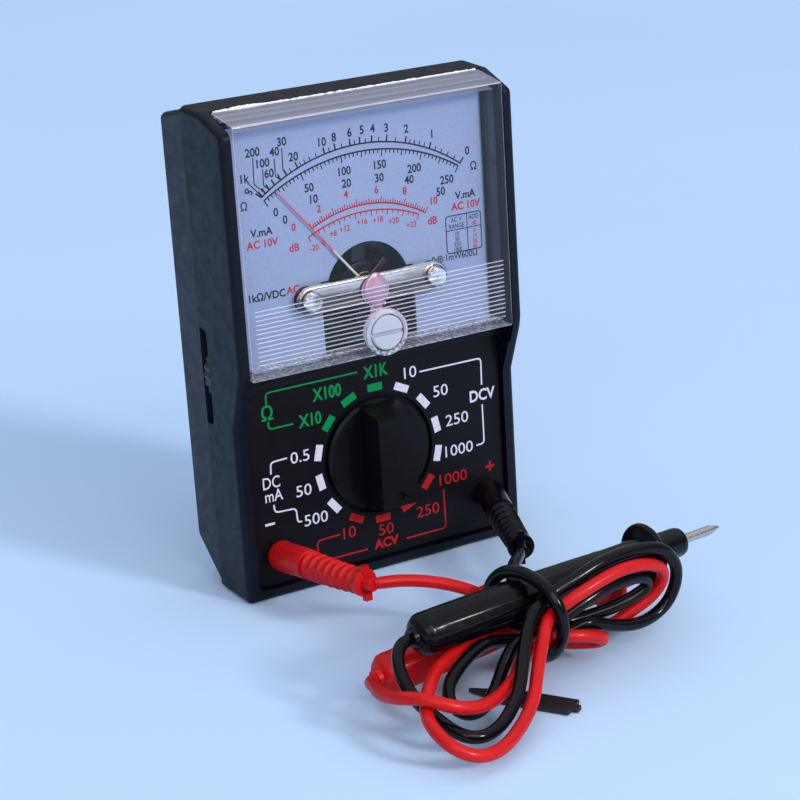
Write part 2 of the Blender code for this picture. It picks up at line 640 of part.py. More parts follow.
def board_parts(resistor, diode, glass, brass):
    for index, z in enumerate((34.0, 38.0, 14.0)):
        axial_part(f"resistor_{index + 1}", (6.0, z), 6.4, 1.2, resistor)
    for index, x in enumerate((-8.0, -2.0)):
        axial_part(f"diode_{index + 1}", (x, 20.0), 4.2, 1.0, diode, waist=1.0)
    fuse_front = BOARD_BACK - 3.6
    fuse = [(0, 10.0), (2.5, 10.0), (2.5, 5.5), (2.2, 5.5),
            (2.2, -5.5), (2.5, -5.5), (2.5, -10.0), (0, -10.0)]
    turned("fuse", fuse, glass, (0, fuse_front, 28.0), TO_RIGHT, sides=16)
    for name, side in (("fuse_clip_left", -1), ("fuse_clip_right", 1)):
        x = side * 7.9
        clip = box(name, (x - 1.6, BOARD_BACK - GAP, 24.6), (x + 1.6, BOARD_BACK - 5.6, 31.4), brass)
        bore = [(0, 4), (2.8, 4), (2.8, -4), (0, -4)]
        cut(clip, turned(name + "_bore", bore, at=(x, fuse_front, 28.0), turn=TO_RIGHT, sides=16))
        cut(clip, box(name + "_mouth", (x - 4, fuse_front, 26.0), (x + 4, fuse_front - 6, 30.0)))


def battery(sleeve, brass, steel):
    """One AA cell across the top, between a contact plate and a coil spring."""
    nub = 1.2
    profile = [(0, CELL_HALF + nub), (2.7, CELL_HALF + nub), (2.7, CELL_HALF),
               (CELL_RADIUS - 0.5, CELL_HALF), (CELL_RADIUS, CELL_HALF - 0.5), (CELL_RADIUS, 0.5 - CELL_HALF),
               (CELL_RADIUS - 0.5, -CELL_HALF), (0, -CELL_HALF)]
    turned("battery_cell", profile, sleeve, (-0.4, -0.3, CELL_Z), TO_RIGHT, sides=28)
    x = CELL_HALF + nub - 0.4 + GAP
    box("battery_contact_positive", (x, -5.5, 79), (x + 0.6, 6.0, 89.5), brass)
    points = []
    turns, steps, start, end = 3, 30, -CELL_HALF - 0.4 - 0.5, -28.4
    for index in range(steps + 1):
        part = index / steps
        angle = 2 * math.pi * turns * part
        radius = 2.6 + 1.8 * part
        points.append((start + (end - start) * part, 0.3 + radius * math.cos(angle),
                       CELL_Z + radius * math.sin(angle)))
    tube("battery_spring_negative", points, 0.25, steel, resolution=0)


def ohm_zero(body, wheel_finish):
    """Flat potentiometer on the board, turned by a knurled wheel that shows in the side slot."""
    turned("ohm_pot_base", [(0, 4.4), (1.4, 4.4), (1.4, -0.1), (5.5, -0.1), (5.5, -0.3), (0, -0.3)],
           body, (WHEEL[0], 0, WHEEL[1]), sides=24)
    teeth = 30
    outline = []
    for index in range(teeth * 2):
        radius = WHEEL_RADIUS if index % 2 else WHEEL_RADIUS - 0.35
        angle = math.pi * index / teeth
        outline.append((radius * math.sin(angle), radius * math.cos(angle)))
    wheel = plate("ohm_wheel", outline, 0.5, 2.9, wheel_finish, WHEEL)
    cut(wheel, rod("wheel_bore", 1.7, -2, 5, at=WHEEL, sides=16))


# ---------------------------------------------------------------- leads

def jacks(finish):
    for name, (x, z) in (("jack_sleeve_negative", JACK_NEGATIVE), ("jack_sleeve_positive", JACK_POSITIVE)):
        wall = [(2.05, 10.0), (SLEEVE_RADIUS, 10.0), (SLEEVE_RADIUS, 0.4), (2.05, 0.4)]
        turned(name, wall, finish, (x, 0, z), sides=20, ring=True)


def smooth_path(corners, step):
    """Evenly spaced points along a Catmull-Rom curve through the corners."""
    corners = np.array(corners, float)
    padded = np.vstack([2 * corners[0] - corners[1], corners, 2 * corners[-1] - corners[-2]])
    fine = []
    for a, b, c, d in zip(padded, padded[1:], padded[2:], padded[3:]):
        for t in np.linspace(0, 1, 16, endpoint=False):
            fine.append(0.5 * (2 * b + (c - a) * t + (2 * a - 5 * b + 4 * c - d) * t * t
                               + (3 * b - a - 3 * c + d) * t ** 3))
    fine = np.array(fine + [corners[-1]])
    along = np.concatenate([[0], np.cumsum(np.linalg.norm(np.diff(fine, axis=0), axis=1))])
    count = int(round(along[-1] / step))
    spots = np.linspace(0, along[-1], count + 1)
    return np.column_stack([np.interp(spots, along, fine[:, k]) for k in range(3)])


# Boots leave the jacks forwards and bend slightly inwards.
RED_BOOT = (
    (-24.5, -11.8, 9.0), (-24.4, -15.0, 9.1), (-23.8, -21.0, 9.9), (-22.3, -31.0, 10.9), (-20.5, -41.2, 11.4),
)
BLACK_BOOT = (
    (25.3, -11.8, 10.6), (25.2, -15.0, 10.6), (24.3, -21.0, 10.4), (20.9, -30.5, 9.9), (15.0, -40.4, 9.3),
)

# The wires run from the boots through a figure of eight held by one turn round the bundle.
BLACK_WIRE = (
    (14.4, -41.1, 9.3), (10.9, -45.0, 9.6), (6.9, -49.0, 9.2), (4.6, -53.5, 6.0), (2.6, -57.5, 3.6),
    (0.9, -61.0, 1.8), (-0.6, -64.5, 1.4), (-1.4, -67.5, 1.4), (-3.0, -72.0, 2.4), (-3.8, -75.5, 3.6),
    (-4.0, -78.6, 5.2), (-4.0, -81.3, 8.0), (-4.0, -82.8, 11.5), (-4.3, -82.6, 14.8), (-5.0, -80.8, 18.4),
    (-6.0, -76.4, 20.3), (-7.3, -71.8, 20.5), (-8.8, -68.2, 18.3), (-10.0, -67.1, 15.0),
    (-10.0, -68.6, 11.2), (-8.0, -71.3, 9.4), (-4.0, -72.9, 8.9), (0.0, -73.5, 8.1), (6.0, -74.6, 7.6),
    (12.5, -76.0, 8.6), (19.4, -76.0, 10.5), (21.2, -76.8, 12.3), (17.0, -78.0, 15.0), (8.0, -79.5, 15.4),
    (1.0, -80.0, 13.5), (-4.0, -79.8, 11.0), (-12.1, -81.5, 10.3), (-16.1, -83.5, 6.9), (-19.2, -85.5, 5.0),
    (-22.9, -87.5, 3.5), (-26.4, -88.5, 3.0), (-28.9, -88.0, 3.8), (-30.0, -86.5, 5.0), (-29.6, -84.3, 6.4),
    (-27.7, -82.0, 7.9), (-25.0, -80.5, 9.3), (-20.8, -78.5, 10.3), (-15.6, -77.0, 10.6),
    (-4.0, -75.6, 7.0), (2.0, -75.8, 7.6), (5.4, -76.5, 9.3), (11.6, -75.5, 6.7), (20.3, -74.5, 5.0),
    (25.7, -74.5, 7.1), (26.7, -76.0, 13.0), (24.3, -77.2, 17.5), (20.7, -77.8, 19.8), (14.5, -78.5, 20.5),
    (7.3, -79.2, 20.0), (2.2, -79.5, 18.5), (-4.0, -79.4, 16.7), (-8.9, -81.2, 14.2), (-11.8, -83.5, 11.9),
    (-15.1, -87.0, 9.2), (-18.8, -91.2, 6.1), (-23.8, -95.2, 4.3), (-28.8, -97.2, 3.5), (-32.7, -97.0, 4.2),
    (-34.4, -93.5, 5.4), (-34.7, -89.0, 6.6), (-35.5, -85.5, 8.0), (-36.1, -82.0, 9.7),
    (-36.0, -79.5, 11.8), (-35.1, -77.6, 13.6), (-33.4, -76.0, 14.7), (-31.2, -75.9, 15.0),
)
RED_WIRE = (
    (-20.2, -42.4, 11.4), (-14.7, -43.4, 11.1), (-8.6, -45.8, 10.0), (-4.6, -49.0, 8.9), (-2.7, -52.5, 8.2),
    (-6.2, -57.5, 10.6), (-4.0, -62.0, 13.2), (-2.0, -66.5, 12.6), (-0.8, -69.3, 10.0), (1.0, -70.8, 7.2),
    (4.0, -71.0, 5.0), (8.0, -72.0, 3.8), (13.0, -73.6, 3.6), (17.5, -75.0, 6.0), (21.8, -75.8, 9.1),
    (22.9, -77.4, 14.1), (20.2, -78.6, 16.7), (15.9, -79.6, 18.5), (10.9, -80.4, 19.1), (6.0, -81.0, 18.4),
    (1.4, -81.2, 17.1), (-1.8, -81.0, 15.5), (-4.0, -79.9, 13.9), (-6.7, -82.0, 13.7), (-9.5, -84.4, 10.6),
    (-13.1, -88.0, 8.0), (-16.7, -92.0, 5.7), (-21.8, -96.5, 3.8), (-28.6, -101.0, 2.7),
    (-34.0, -102.2, 3.1), (-37.7, -101.0, 5.1), (-39.1, -97.0, 7.1), (-38.4, -92.5, 8.5),
    (-36.1, -88.0, 8.9), (-32.7, -84.0, 9.5), (-28.9, -80.5, 10.2), (-24.6, -78.0, 10.8),
    (-19.8, -75.5, 10.7), (-15.4, -74.0, 10.7), (-4.0, -72.9, 6.2), (2.0, -73.6, 4.2), (6.0, -75.2, 3.6),
    (8.5, -78.0, 4.2), (7.0, -80.4, 6.2), (3.0, -81.0, 7.8), (-1.0, -80.2, 8.6), (-4.0, -78.4, 8.3),
    (-12.4, -81.5, 8.4), (-15.8, -85.0, 7.3), (-20.0, -88.5, 6.5), (-25.3, -92.0, 6.5), (-30.6, -94.0, 7.3),
    (-34.3, -93.5, 8.1), (-37.5, -90.6, 8.8), (-39.8, -86.0, 8.6), (-40.0, -81.5, 7.8), (-39.3, -77.0, 7.2),
    (-37.7, -73.0, 6.8), (-37.2, -70.2, 5.8), (-35.0, -68.9, 5.8),
)


def push_apart(points, need, separate):
    """Half the move that each pair of points needs to stand far enough apart."""
    offset = points[:, None, :] - points[None, :, :]
    distance = np.linalg.norm(offset, axis=2) + 1e-9
    lack = np.where(separate & (distance < need), need - distance, 0.0)
    move = (offset / distance[:, :, None]) * (lack * 0.5)[:, :, None]
    touching = np.maximum((lack > 0).sum(axis=1), 1)
    return move.sum(axis=1) / np.sqrt(touching)[:, None]


def push_off_rods(points, rods, need):
    """Move points out of round bars given by their end points and radii."""
    for start, end, radius in rods:
        axis = end - start
        share = np.clip((points - start) @ axis / (axis @ axis), 0, 1)
        away = points - (start + share[:, None] * axis)
        distance = np.linalg.norm(away, axis=1) + 1e-9
        lack = np.clip(radius + need - distance, 0, None)
        points += away / distance[:, None] * lack[:, None]


def settled_wires():
    """Let the two wires push each other, the probes and the table apart until nothing touches."""
    paths = [smooth_path(BLACK_WIRE, WIRE_STEP), smooth_path(RED_WIRE, WIRE_STEP)]
    points = np.vstack(paths)
    wire = np.repeat([0, 1], [len(path) for path in paths])
    order = np.concatenate([np.arange(len(path)) for path in paths])
    apart = np.abs(order[:, None] - order[None, :]) > 5
    separate = (wire[:, None] != wire[None, :]) | apart
    rods = []
    for rear, front in (BLACK_PROBE, RED_PROBE):
        rear, front = np.array(rear), np.array(front)
        along = (front - rear) / np.linalg.norm(front - rear)
        rods.append((rear + along * PROBE_RADIUS, rear + along * PROBE_HANDLE, PROBE_RADIUS))
        rods.append((rear + along * PROBE_HANDLE, front, 3.0))
        rods.append((rear + along * (PROBE_HANDLE + 0.7), rear + along * (PROBE_HANDLE + 0.9), 6.2))
    held = np.zeros(len(points), bool)
    for index, path in enumerate(paths):
        start = 0 if index == 0 else len(paths[0])
        held[start:start + 2] = True
        held[start + len(path) - 5:start + len(path)] = True
    home = points.copy()
    inner = np.flatnonzero(~held)
    for step in range(500):
        pull = 0.03 if step < 330 else 0.004
        before = points.copy()
        points = points + push_apart(points, 2 * WIRE_RADIUS + 0.45, separate)
        drift = points - home
        middle = (drift[inner - 1] + drift[inner + 1]) / 2
        points[inner] += 0.3 * (middle - drift[inner]) - pull * drift[inner]
        bend = (points[inner - 1] + points[inner + 1]) / 2 - points[inner]
        points[inner] += 0.02 * bend
        push_off_rods(points, rods, WIRE_RADIUS + 0.25)
        points[:, 2] = np.maximum(points[:, 2], table_height(points))
        points[held] = before[held]
    return points[wire == 0], points[wire == 1]


def table_height(points):
    """Lowest wire centre: the table, or the tie strap where it lies."""
    along, across = strap_frame(points)
    on_strap = (np.abs(along) < STRAP_LENGTH / 2 + 2) & (np.abs(across) < STRAP_WIDTH / 2 + 2)
    return np.where(on_strap, WIRE_RADIUS + STRAP_THICK + 0.45, WIRE_RADIUS + 0.1)


def strap_frame(points):
    """Each point's distance along the strap and across it."""
    offset = points[:, :2] - np.array(STRAP_MIDDLE)
    along = offset[:, 0] * math.cos(STRAP_ANGLE) + offset[:, 1] * math.sin(STRAP_ANGLE)
    across = -offset[:, 0] * math.sin(STRAP_ANGLE) + offset[:, 1] * math.cos(STRAP_ANGLE)
    return along, across


def tie_strap(finish):
    """Flat strap under the bundle, with a pointed tail and a square head with a tab."""
    half, wide = STRAP_LENGTH / 2, STRAP_WIDTH / 2
    outline = [(-half, 0), (-half + 5, -1.4), (-half + 8, -wide), (half, -wide), (half, -1.0),
               (half + 1.2, -1.0), (half + 1.2, 0.6), (half, 0.6), (half, wide), (-half + 8, wide),
               (-half + 5, 1.4)]
    place = Matrix.Translation(Vector((*STRAP_MIDDLE, 0.1 + STRAP_THICK / 2)) * MM)
    prism("tie_strap", outline, place @ Matrix.Rotation(STRAP_ANGLE, 4, "Z"), STRAP_THICK, finish)


def plug_boot(name, corners, finish):
    """Rubber boot: smooth grip, a run of ribs and an end flange."""
    points = smooth_path(corners, 0.9)
    swell = []
    ribs_from, ribs_to = 0.46, 0.9
    for index in range(len(points)):
        part = index / (len(points) - 1)
        radius = BOOT_RADIUS - 0.9 * part
        if ribs_from < part < ribs_to and index % 2:
            radius -= 0.55
        if part > 0.965:
            radius = 3.9
        swell.append(radius / BOOT_RADIUS)
    return tube(name, points, BOOT_RADIUS, finish, swell=swell)


def probe(colour_name, ends, handle_finish, tip_finish):
    """Handle with a finger guard and collar, and the steel tip it holds."""
    rear, front = Vector(ends[0]), Vector(ends[1])
    along = (front - rear).normalized()
    turn = along.to_track_quat("Z", "Y").to_matrix().to_4x4()
    at = (rear.x, -rear.y, rear.z)
    guard = PROBE_HANDLE
    profile = [(0, guard + 10.0), (2.4, guard + 10.0), (2.9, guard + 9.5), (2.9, guard + 1.6),
               (6.0, guard + 1.6), (6.0, guard), (3.4, guard), (3.5, guard - 10), (PROBE_RADIUS, guard - 30),
               (PROBE_RADIUS, 2.0), (3.6, 0.6), (2.6, 0.0), (0, 0)]
    handle = turned(colour_name + "_probe_handle", profile, handle_finish, at, turn, sides=14)
    cut(handle, turned(colour_name + "_tip_socket", [(0, 80), (1.25, 80), (1.25, guard + 4), (0, guard + 4)],
                       at=at, turn=turn, sides=12))
    tip = [(0, PROBE_LENGTH), (0.25, PROBE_LENGTH - 0.3), (0.95, PROBE_LENGTH - 2.6), (0.95, guard + 4.3),
           (0, guard + 4.3)]
    turned(colour_name + "_probe_tip", tip, tip_finish, at, turn, sides=12)


def leads(red, black, metal, strap):
    """Both test leads, tied together: plug pins, boots, wires, probes and the strap."""
    black_path, red_path = settled_wires()
    for colour, finish, jack, boot, path, ends in (
            ("red", red, JACK_NEGATIVE, RED_BOOT, red_path, RED_PROBE),
            ("black", black, JACK_POSITIVE, BLACK_BOOT, black_path, BLACK_PROBE)):
        pin = [(0, 11.35), (PIN_RADIUS, 11.35), (PIN_RADIUS, 2.0), (PIN_RADIUS - 0.6, 1.2), (0, 1.2)]
        turned(colour + "_plug_pin", pin, metal, (jack[0], 0, jack[1]), sides=14)
        plug_boot(colour + "_plug_boot", boot, finish)
        points = np.vstack([path[:-1:2], path[-1:]])
        tube(colour + "_wire", points, WIRE_RADIUS, finish)
        probe(colour, ends, finish, metal)
    tie_strap(strap)


# ---------------------------------------------------------------- assembly

def build():
    black_plastic = finish_of("black_plastic", (0.020, 0.023, 0.030), 0.45)
    cover_plastic = finish_of("cover_plastic", (0.022, 0.026, 0.034), 0.5)
    panel_black = finish_of("panel_black", (0.008, 0.008, 0.012), 0.4)
    clear = finish_of("clear_plastic", (0.92, 0.95, 1.0), 0.05, transmission=1.0)
    dial_white = finish_of("dial_silver", (0.72, 0.78, 0.9), 0.35, 0.2)
    chrome = finish_of("chrome", (0.85, 0.86, 0.88), 0.15, 1.0)
    steel = finish_of("steel", (0.6, 0.61, 0.63), 0.3, 1.0)
    iron = finish_of("iron", (0.12, 0.12, 0.13), 0.5, 0.8)
    brass = finish_of("brass", (0.75, 0.55, 0.25), 0.3, 1.0)
    copper = finish_of("copper", (0.65, 0.3, 0.15), 0.35, 1.0)
    pale = finish_of("pale_metal", (0.75, 0.75, 0.78), 0.3, 0.9)
    white = finish_of("white_plastic", (0.85, 0.86, 0.9), 0.35)
    board_green = finish_of("board_green", (0.05, 0.2, 0.09), 0.45)
    resistor_blue = finish_of("resistor_blue", (0.15, 0.35, 0.6), 0.4)
    diode_orange = finish_of("diode_glass", (0.6, 0.25, 0.1), 0.2)
    cell_sleeve = finish_of("cell_sleeve", (0.12, 0.25, 0.2), 0.35)
    red = finish_of("red_pvc", (0.8, 0.02, 0.015), 0.3)
    black = finish_of("black_pvc", (0.015, 0.016, 0.02), 0.25)
    strap = finish_of("strap_nylon", (0.015, 0.015, 0.018), 0.6)

    front_case(black_plastic)
    rear_cover(cover_plastic)
    faceplate(panel_black)
    window_lens(clear)
    rear_screws(steel)

    dial_plate(dial_white)
    movement_frame(iron)
    magnet_system(iron, steel)
    moving_coil(copper)
    pointer(pale)
    hairspring("front_hairspring", 10.2, brass)
    hairspring("rear_hairspring", 1.75, brass)
    bridge(chrome)
    movement_fasteners(steel, brass)
    zero_adjuster(pale, white)

    selector_knob(black_plastic)
    wiper_carrier(white)
    selector_inner_parts(brass, steel)

    circuit_board(board_green)
    board_screws(steel)
    board_parts(resistor_blue, diode_orange, white, brass)
    battery(cell_sleeve, brass, steel)
    ohm_zero(black_plastic, black_plastic)
    jacks(brass)
    leads(red, black, chrome, strap)


clear_scene()
PARTS = new_collection(OBJECT_NAME)
CUTTERS = new_collection("cutters", hidden=True)
build()
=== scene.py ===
"""Looks of the pocket analog multimeter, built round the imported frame.

Lengths are in millimetres and become metres through MM. A "front" number is a distance forward of
the parting plane, so a front of 10 lies at Y = -10 mm, as in the part's own source.
"""

import json
import math

import bmesh
import bpy
import numpy as np
from mathutils import Matrix, Quaternion, Vector, noise


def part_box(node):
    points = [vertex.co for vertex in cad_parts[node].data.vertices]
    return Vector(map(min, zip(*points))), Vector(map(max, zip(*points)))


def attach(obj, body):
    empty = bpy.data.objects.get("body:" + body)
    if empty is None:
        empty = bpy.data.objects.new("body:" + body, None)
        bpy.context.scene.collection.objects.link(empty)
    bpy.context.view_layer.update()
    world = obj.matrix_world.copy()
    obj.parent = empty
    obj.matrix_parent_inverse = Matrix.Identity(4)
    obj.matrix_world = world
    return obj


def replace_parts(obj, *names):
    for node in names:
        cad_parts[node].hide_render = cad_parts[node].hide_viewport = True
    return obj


MM = 0.001

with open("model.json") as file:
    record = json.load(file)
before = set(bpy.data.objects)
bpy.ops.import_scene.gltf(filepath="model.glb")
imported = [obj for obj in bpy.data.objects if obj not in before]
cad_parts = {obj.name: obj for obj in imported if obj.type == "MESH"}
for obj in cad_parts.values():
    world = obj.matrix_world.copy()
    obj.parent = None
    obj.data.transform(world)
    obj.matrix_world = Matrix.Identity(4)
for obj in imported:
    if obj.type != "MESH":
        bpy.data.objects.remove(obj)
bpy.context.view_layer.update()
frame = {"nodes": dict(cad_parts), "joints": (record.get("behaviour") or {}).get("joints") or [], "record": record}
NODES = frame["nodes"]

# Turns a flat XY drawing so that it stands up and faces the front.
UPRIGHT = Matrix.Rotation(math.pi / 2, 4, "X")


# ---- places read from the frame

def low(node):
    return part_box(node)[0] / MM


def high(node):
    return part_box(node)[1] / MM


def middle(node):
    return (low(node) + high(node)) / 2


def joint_place(name):
    """The (x, z) of a hinge in millimetres."""
    place = next(joint["pos_m"] for joint in frame["joints"] if joint["name"] == name)
    return place[0] / MM, place[2] / MM


def linked(name, data):
    """A new object in the scene with the given data."""
    obj = bpy.data.objects.new(name, data)
    bpy.context.scene.collection.objects.link(obj)
    return obj


def mesh_from(work, name):
    """Turn a finished bmesh of closed solids into a mesh."""
    bmesh.ops.recalc_face_normals(work, faces=work.faces)
    mesh = bpy.data.meshes.new(name)
    work.to_mesh(mesh)
    work.free()
    return mesh


PANEL_FRONT = -low("faceplate").y
DIAL_FRONT = -low("dial_plate").y
KNOB_CENTRE = joint_place("selector_turn")
PIVOT = joint_place("pointer_swing")
ZERO_CENTRE = joint_place("zero_screw_turn")


# ---- materials

# The dial is painted dark to the right of this x: painted shade where the case shades it.
PAINTED_SHADE_FROM = 27.6
# The window's reflections, the boss round the zero screw, and the height of its speckled foot.
CLEAR_INDEX = 1.42
BOSS_RADIUS = 5.0
FOOT_TOP = 50.0
# The bridge's width, over which its painted reflection bands are spread.
BRIDGE_WIDTH = 6.0
# The needle is red beyond this distance from its pivot.
RED_FROM = 12.0


class Graph:
    """A material's node tree, with short calls to add and link nodes."""

    def __init__(self, name):
        self.material = bpy.data.materials.new(name)
        self.material.use_nodes = True
        self.tree = self.material.node_tree
        self.tree.nodes.clear()
        self.place = self.add("ShaderNodeTexCoord").outputs["Object"]

    def add(self, kind, inputs=None, **settings):
        """A new node. Each of its inputs is given as a value or as another node's output."""
        node = self.tree.nodes.new(kind)
        for key, value in settings.items():
            setattr(node, key, value)
        for key, value in (inputs or {}).items():
            if isinstance(value, bpy.types.NodeSocket):
                self.tree.links.new(value, node.inputs[key])
            else:
                node.inputs[key].default_value = value
        return node

    def noise(self, scale, detail=3.0, stretch=(1, 1, 1)):
        """Noise over the object's own coordinates. scale counts lumps per metre."""
        spot = self.add("ShaderNodeMapping", {"Vector": self.place, "Scale": stretch}).outputs[0]
        inputs = {"Vector": spot, "Scale": scale, "Detail": detail}
        return self.add("ShaderNodeTexNoise", inputs).outputs["Fac"]

    def ramp(self, value, stops):
        """A colour ramp with (position, colour) stops."""
        node = self.add("ShaderNodeValToRGB", {"Fac": value})
        elements = node.color_ramp.elements
        while len(elements) < len(stops):
            elements.new(0.5)
        for element, (position, colour) in zip(elements, stops):
            element.position = position
            element.color = (*colour, 1.0)
        return node.outputs["Color"]

    def mottle(self, colour, scale, detail, dark, bright):
        """A colour that noise makes darker and brighter, by two factors."""
        stops = [(0.3, shade(colour, dark)), (0.7, shade(colour, bright))]
        return self.ramp(self.noise(scale, detail), stops)

    def spread(self, value, low_end, high_end, start=0.3, end=0.7):
        """Map a stretch of a value, such as the useful middle of a noise, to a range."""
        inputs = {"Value": value, "From Min": start, "From Max": end, "To Min": low_end, "To Max": high_end}
        return self.add("ShaderNodeMapRange", inputs).outputs["Result"]

    def maths(self, operation, *values):
        return self.add("ShaderNodeMath", dict(enumerate(values)), operation=operation).outputs["Value"]

    def parts(self, vector=None):
        """The X, Y and Z of a vector, or else of the place on the object."""
        return self.add("ShaderNodeSeparateXYZ", {"Vector": self.place if vector is None else vector}).outputs

    def distance(self, x, front_node, z):
        """How far a place on the object is from a point at the front of a node, in millimetres."""
        inputs = {0: self.place, 1: Vector((x, low(front_node).y, z)) * MM}
        node = self.add("ShaderNodeVectorMath", inputs, operation="DISTANCE")
        return self.maths("MULTIPLY", node.outputs["Value"], 1 / MM)

    def mix(self, kind, *inputs):
        """Mix two colours or two shaders. The share of the second comes first."""
        return self.add(kind, dict(enumerate(inputs))).outputs[0]

    def bump(self, height, distance, under=None):
        inputs = {"Height": height, "Distance": distance * MM}
        if under is not None:
            inputs["Normal"] = under
        return self.add("ShaderNodeBump", inputs).outputs["Normal"]

    def principled(self, **values):
        """The surface shader. Underscores in the names stand for spaces."""
        inputs = {key.replace("_", " "): value for key, value in values.items()}
        return self.add("ShaderNodeBsdfPrincipled", inputs).outputs["BSDF"]

    def finish(self, shader=None, **values):
        """End in a given shader, or else in the surface shader with these values."""
        if shader is None:
            shader = self.principled(**values)
        self.add("ShaderNodeOutputMaterial", {"Surface": shader})
        return self.material


def shade(colour, factor):
    return tuple(min(1.0, channel * factor) for channel in colour)


def grey(level):
    return level, level, level


def plastic(name, colour, roughness, grain=0.012, grain_scale=5200, gloss_level=0.5, uneven=0.1):
    """Moulded plastic: a fine grain, a faint mottle and slightly uneven gloss."""
    g = Graph(name)
    tint = g.mottle(colour, 140, 4, 1 - uneven, 1 + uneven)
    gloss = g.spread(g.noise(420, 5), roughness * 0.85, roughness * 1.2)
    fine = g.bump(g.noise(grain_scale, 2), grain)
    return g.finish(Base_Color=tint, Roughness=gloss, Normal=fine, Specular_IOR_Level=gloss_level)


def soft_pvc(name, colour, roughness, coat=0.25, gloss_level=0.5):
    """Flexible cable jacket: glossy, faintly wavy, with dusty patches."""
    g = Graph(name)
    tint = g.mottle(colour, 90, 4, 0.86, 1.1)
    gloss = g.spread(g.noise(700, 4), roughness * 0.8, roughness * 1.35)
    wavy = g.bump(g.noise(260, 2), 0.06)
    fine = g.bump(g.noise(4000, 2), 0.006, under=wavy)
    return g.finish(Base_Color=tint, Roughness=gloss, Normal=fine, Coat_Weight=coat, Coat_Roughness=0.12,
                    Specular_IOR_Level=gloss_level)


def metal(name, colour, roughness, brushed=(1, 1, 1), wear=0.12):
    """Plated or plain metal with fine marks along one direction."""
    g = Graph(name)
    marks = g.noise(1800, 4, brushed)
    tint = g.mottle(colour, 300, 4, 1 - wear, 1 + wear)
    gloss = g.spread(marks, roughness * 0.7, roughness * 1.5)
    scratch = g.bump(marks, 0.004)
    return g.finish(Base_Color=tint, Metallic=1.0, Roughness=gloss, Normal=scratch)


def ink(name, colour):
    """Printed ink: slightly uneven cover and a matt surface."""
    g = Graph(name)
    tint = g.mottle(colour, 1500, 3, 0.88, 1.08)
    return g.finish(Base_Color=tint, Roughness=0.5, Specular_IOR_Level=0.15)


def dial_paint():
    """Silvery lacquer of the scale plate, with a very fine metallic fleck and painted shade along its right
    margin.
    """
    g = Graph("dial_silver")
    fleck = g.noise(7000, 2)
    silver = g.ramp(fleck, [(0.35, (0.25, 0.31, 0.48)), (0.65, (0.30, 0.36, 0.56))])
    # Painted shade: the colour turns near black to the right of this x.
    painted_shade = g.spread(g.parts()["X"], 0, 1, PAINTED_SHADE_FROM * MM, (PAINTED_SHADE_FROM + 0.6) * MM)
    tint = g.mix("ShaderNodeMixRGB", painted_shade, silver, (0.01, 0.011, 0.016, 1))
    return g.finish(Base_Color=tint, Metallic=0.1, Normal=g.bump(fleck, 0.004),
                    Roughness=g.spread(g.noise(500, 4), 0.36, 0.46))


def milk_share(g, upright, sideways):
    """How milky the clear moulding is: on its slopes, its sides and the boss round the zero screw. On the slopes
    and sides the milk carries a painted highlight of the rounded edges.
    """
    by_height = g.ramp(upright, [(0.2, grey(0)), (0.35, grey(0.46)), (0.85, grey(0.46)), (0.97, grey(0.5))])
    by_side = g.ramp(sideways, [(0.2, grey(0)), (0.45, grey(0.5)), (0.85, grey(0.5)), (0.95, grey(0.03))])
    from_boss = g.distance(ZERO_CENTRE[0], "window_lens", ZERO_CENTRE[1])
    share = g.maths("MULTIPLY", from_boss, 0.5 / BOSS_RADIUS)
    boss = g.ramp(share, [(0.475, grey(0.42)), (0.5, grey(0))])
    return g.maths("MAXIMUM", g.maths("MAXIMUM", by_height, by_side), boss)


def milk_colour(g, upright):
    """Pale on the slopes as a painted highlight of the rounded edges, greyer on level faces, and speckled below
    the top of the foot.
    """
    # Painted highlight: sloped faces and rounded edges get a pale colour.
    edges = g.ramp(upright, [(0.90, (0.80, 0.80, 0.92)), (0.985, (0.30, 0.32, 0.45))])
    speckle = g.ramp(g.noise(1500, 3), [(0.42, (0.26, 0.28, 0.38)), (0.60, (0.95, 0.95, 1.0))])
    height = g.maths("MULTIPLY", g.parts()["Z"], 0.5 / (FOOT_TOP * MM))
    foot = g.ramp(height, [(0.50, grey(1)), (0.505, grey(0))])
    return g.mix("ShaderNodeMixRGB", foot, edges, speckle)


def thin_wall(g, backfacing):
    """See-through, with mirror reflections on the side that faces the eye."""
    gloss = g.add("ShaderNodeBsdfGlossy", {"Color": (0.9, 0.92, 0.97, 1),
                                           "Roughness": g.spread(g.noise(260, 5), 0.03, 0.10),
                                           "Normal": g.bump(g.noise(70, 2), 0.04)})
    through = g.add("ShaderNodeBsdfTransparent", {"Color": (0.975, 0.98, 0.985, 1)})
    fresnel = g.add("ShaderNodeFresnel", {"IOR": CLEAR_INDEX})
    mirrored = g.maths("MULTIPLY", fresnel.outputs[0], g.maths("SUBTRACT", 1.0, backfacing))
    return g.mix("ShaderNodeMixShader", mirrored, through.outputs[0], gloss.outputs[0])


def clear_moulding():
    """Clear styrene as a thin wall, milky on its edges and foot; on the edges the milk is a painted highlight."""
    g = Graph("clear_styrene")
    surface = g.add("ShaderNodeNewGeometry").outputs
    tilt = g.parts(surface["Normal"])
    upright = g.maths("ABSOLUTE", tilt["Z"])
    sideways = g.maths("ABSOLUTE", tilt["X"])
    milky = g.principled(Base_Color=milk_colour(g, upright), Roughness=0.35)
    wall = thin_wall(g, surface["Backfacing"])
    return g.finish(g.mix("ShaderNodeMixShader", milk_share(g, upright, sideways), wall, milky))


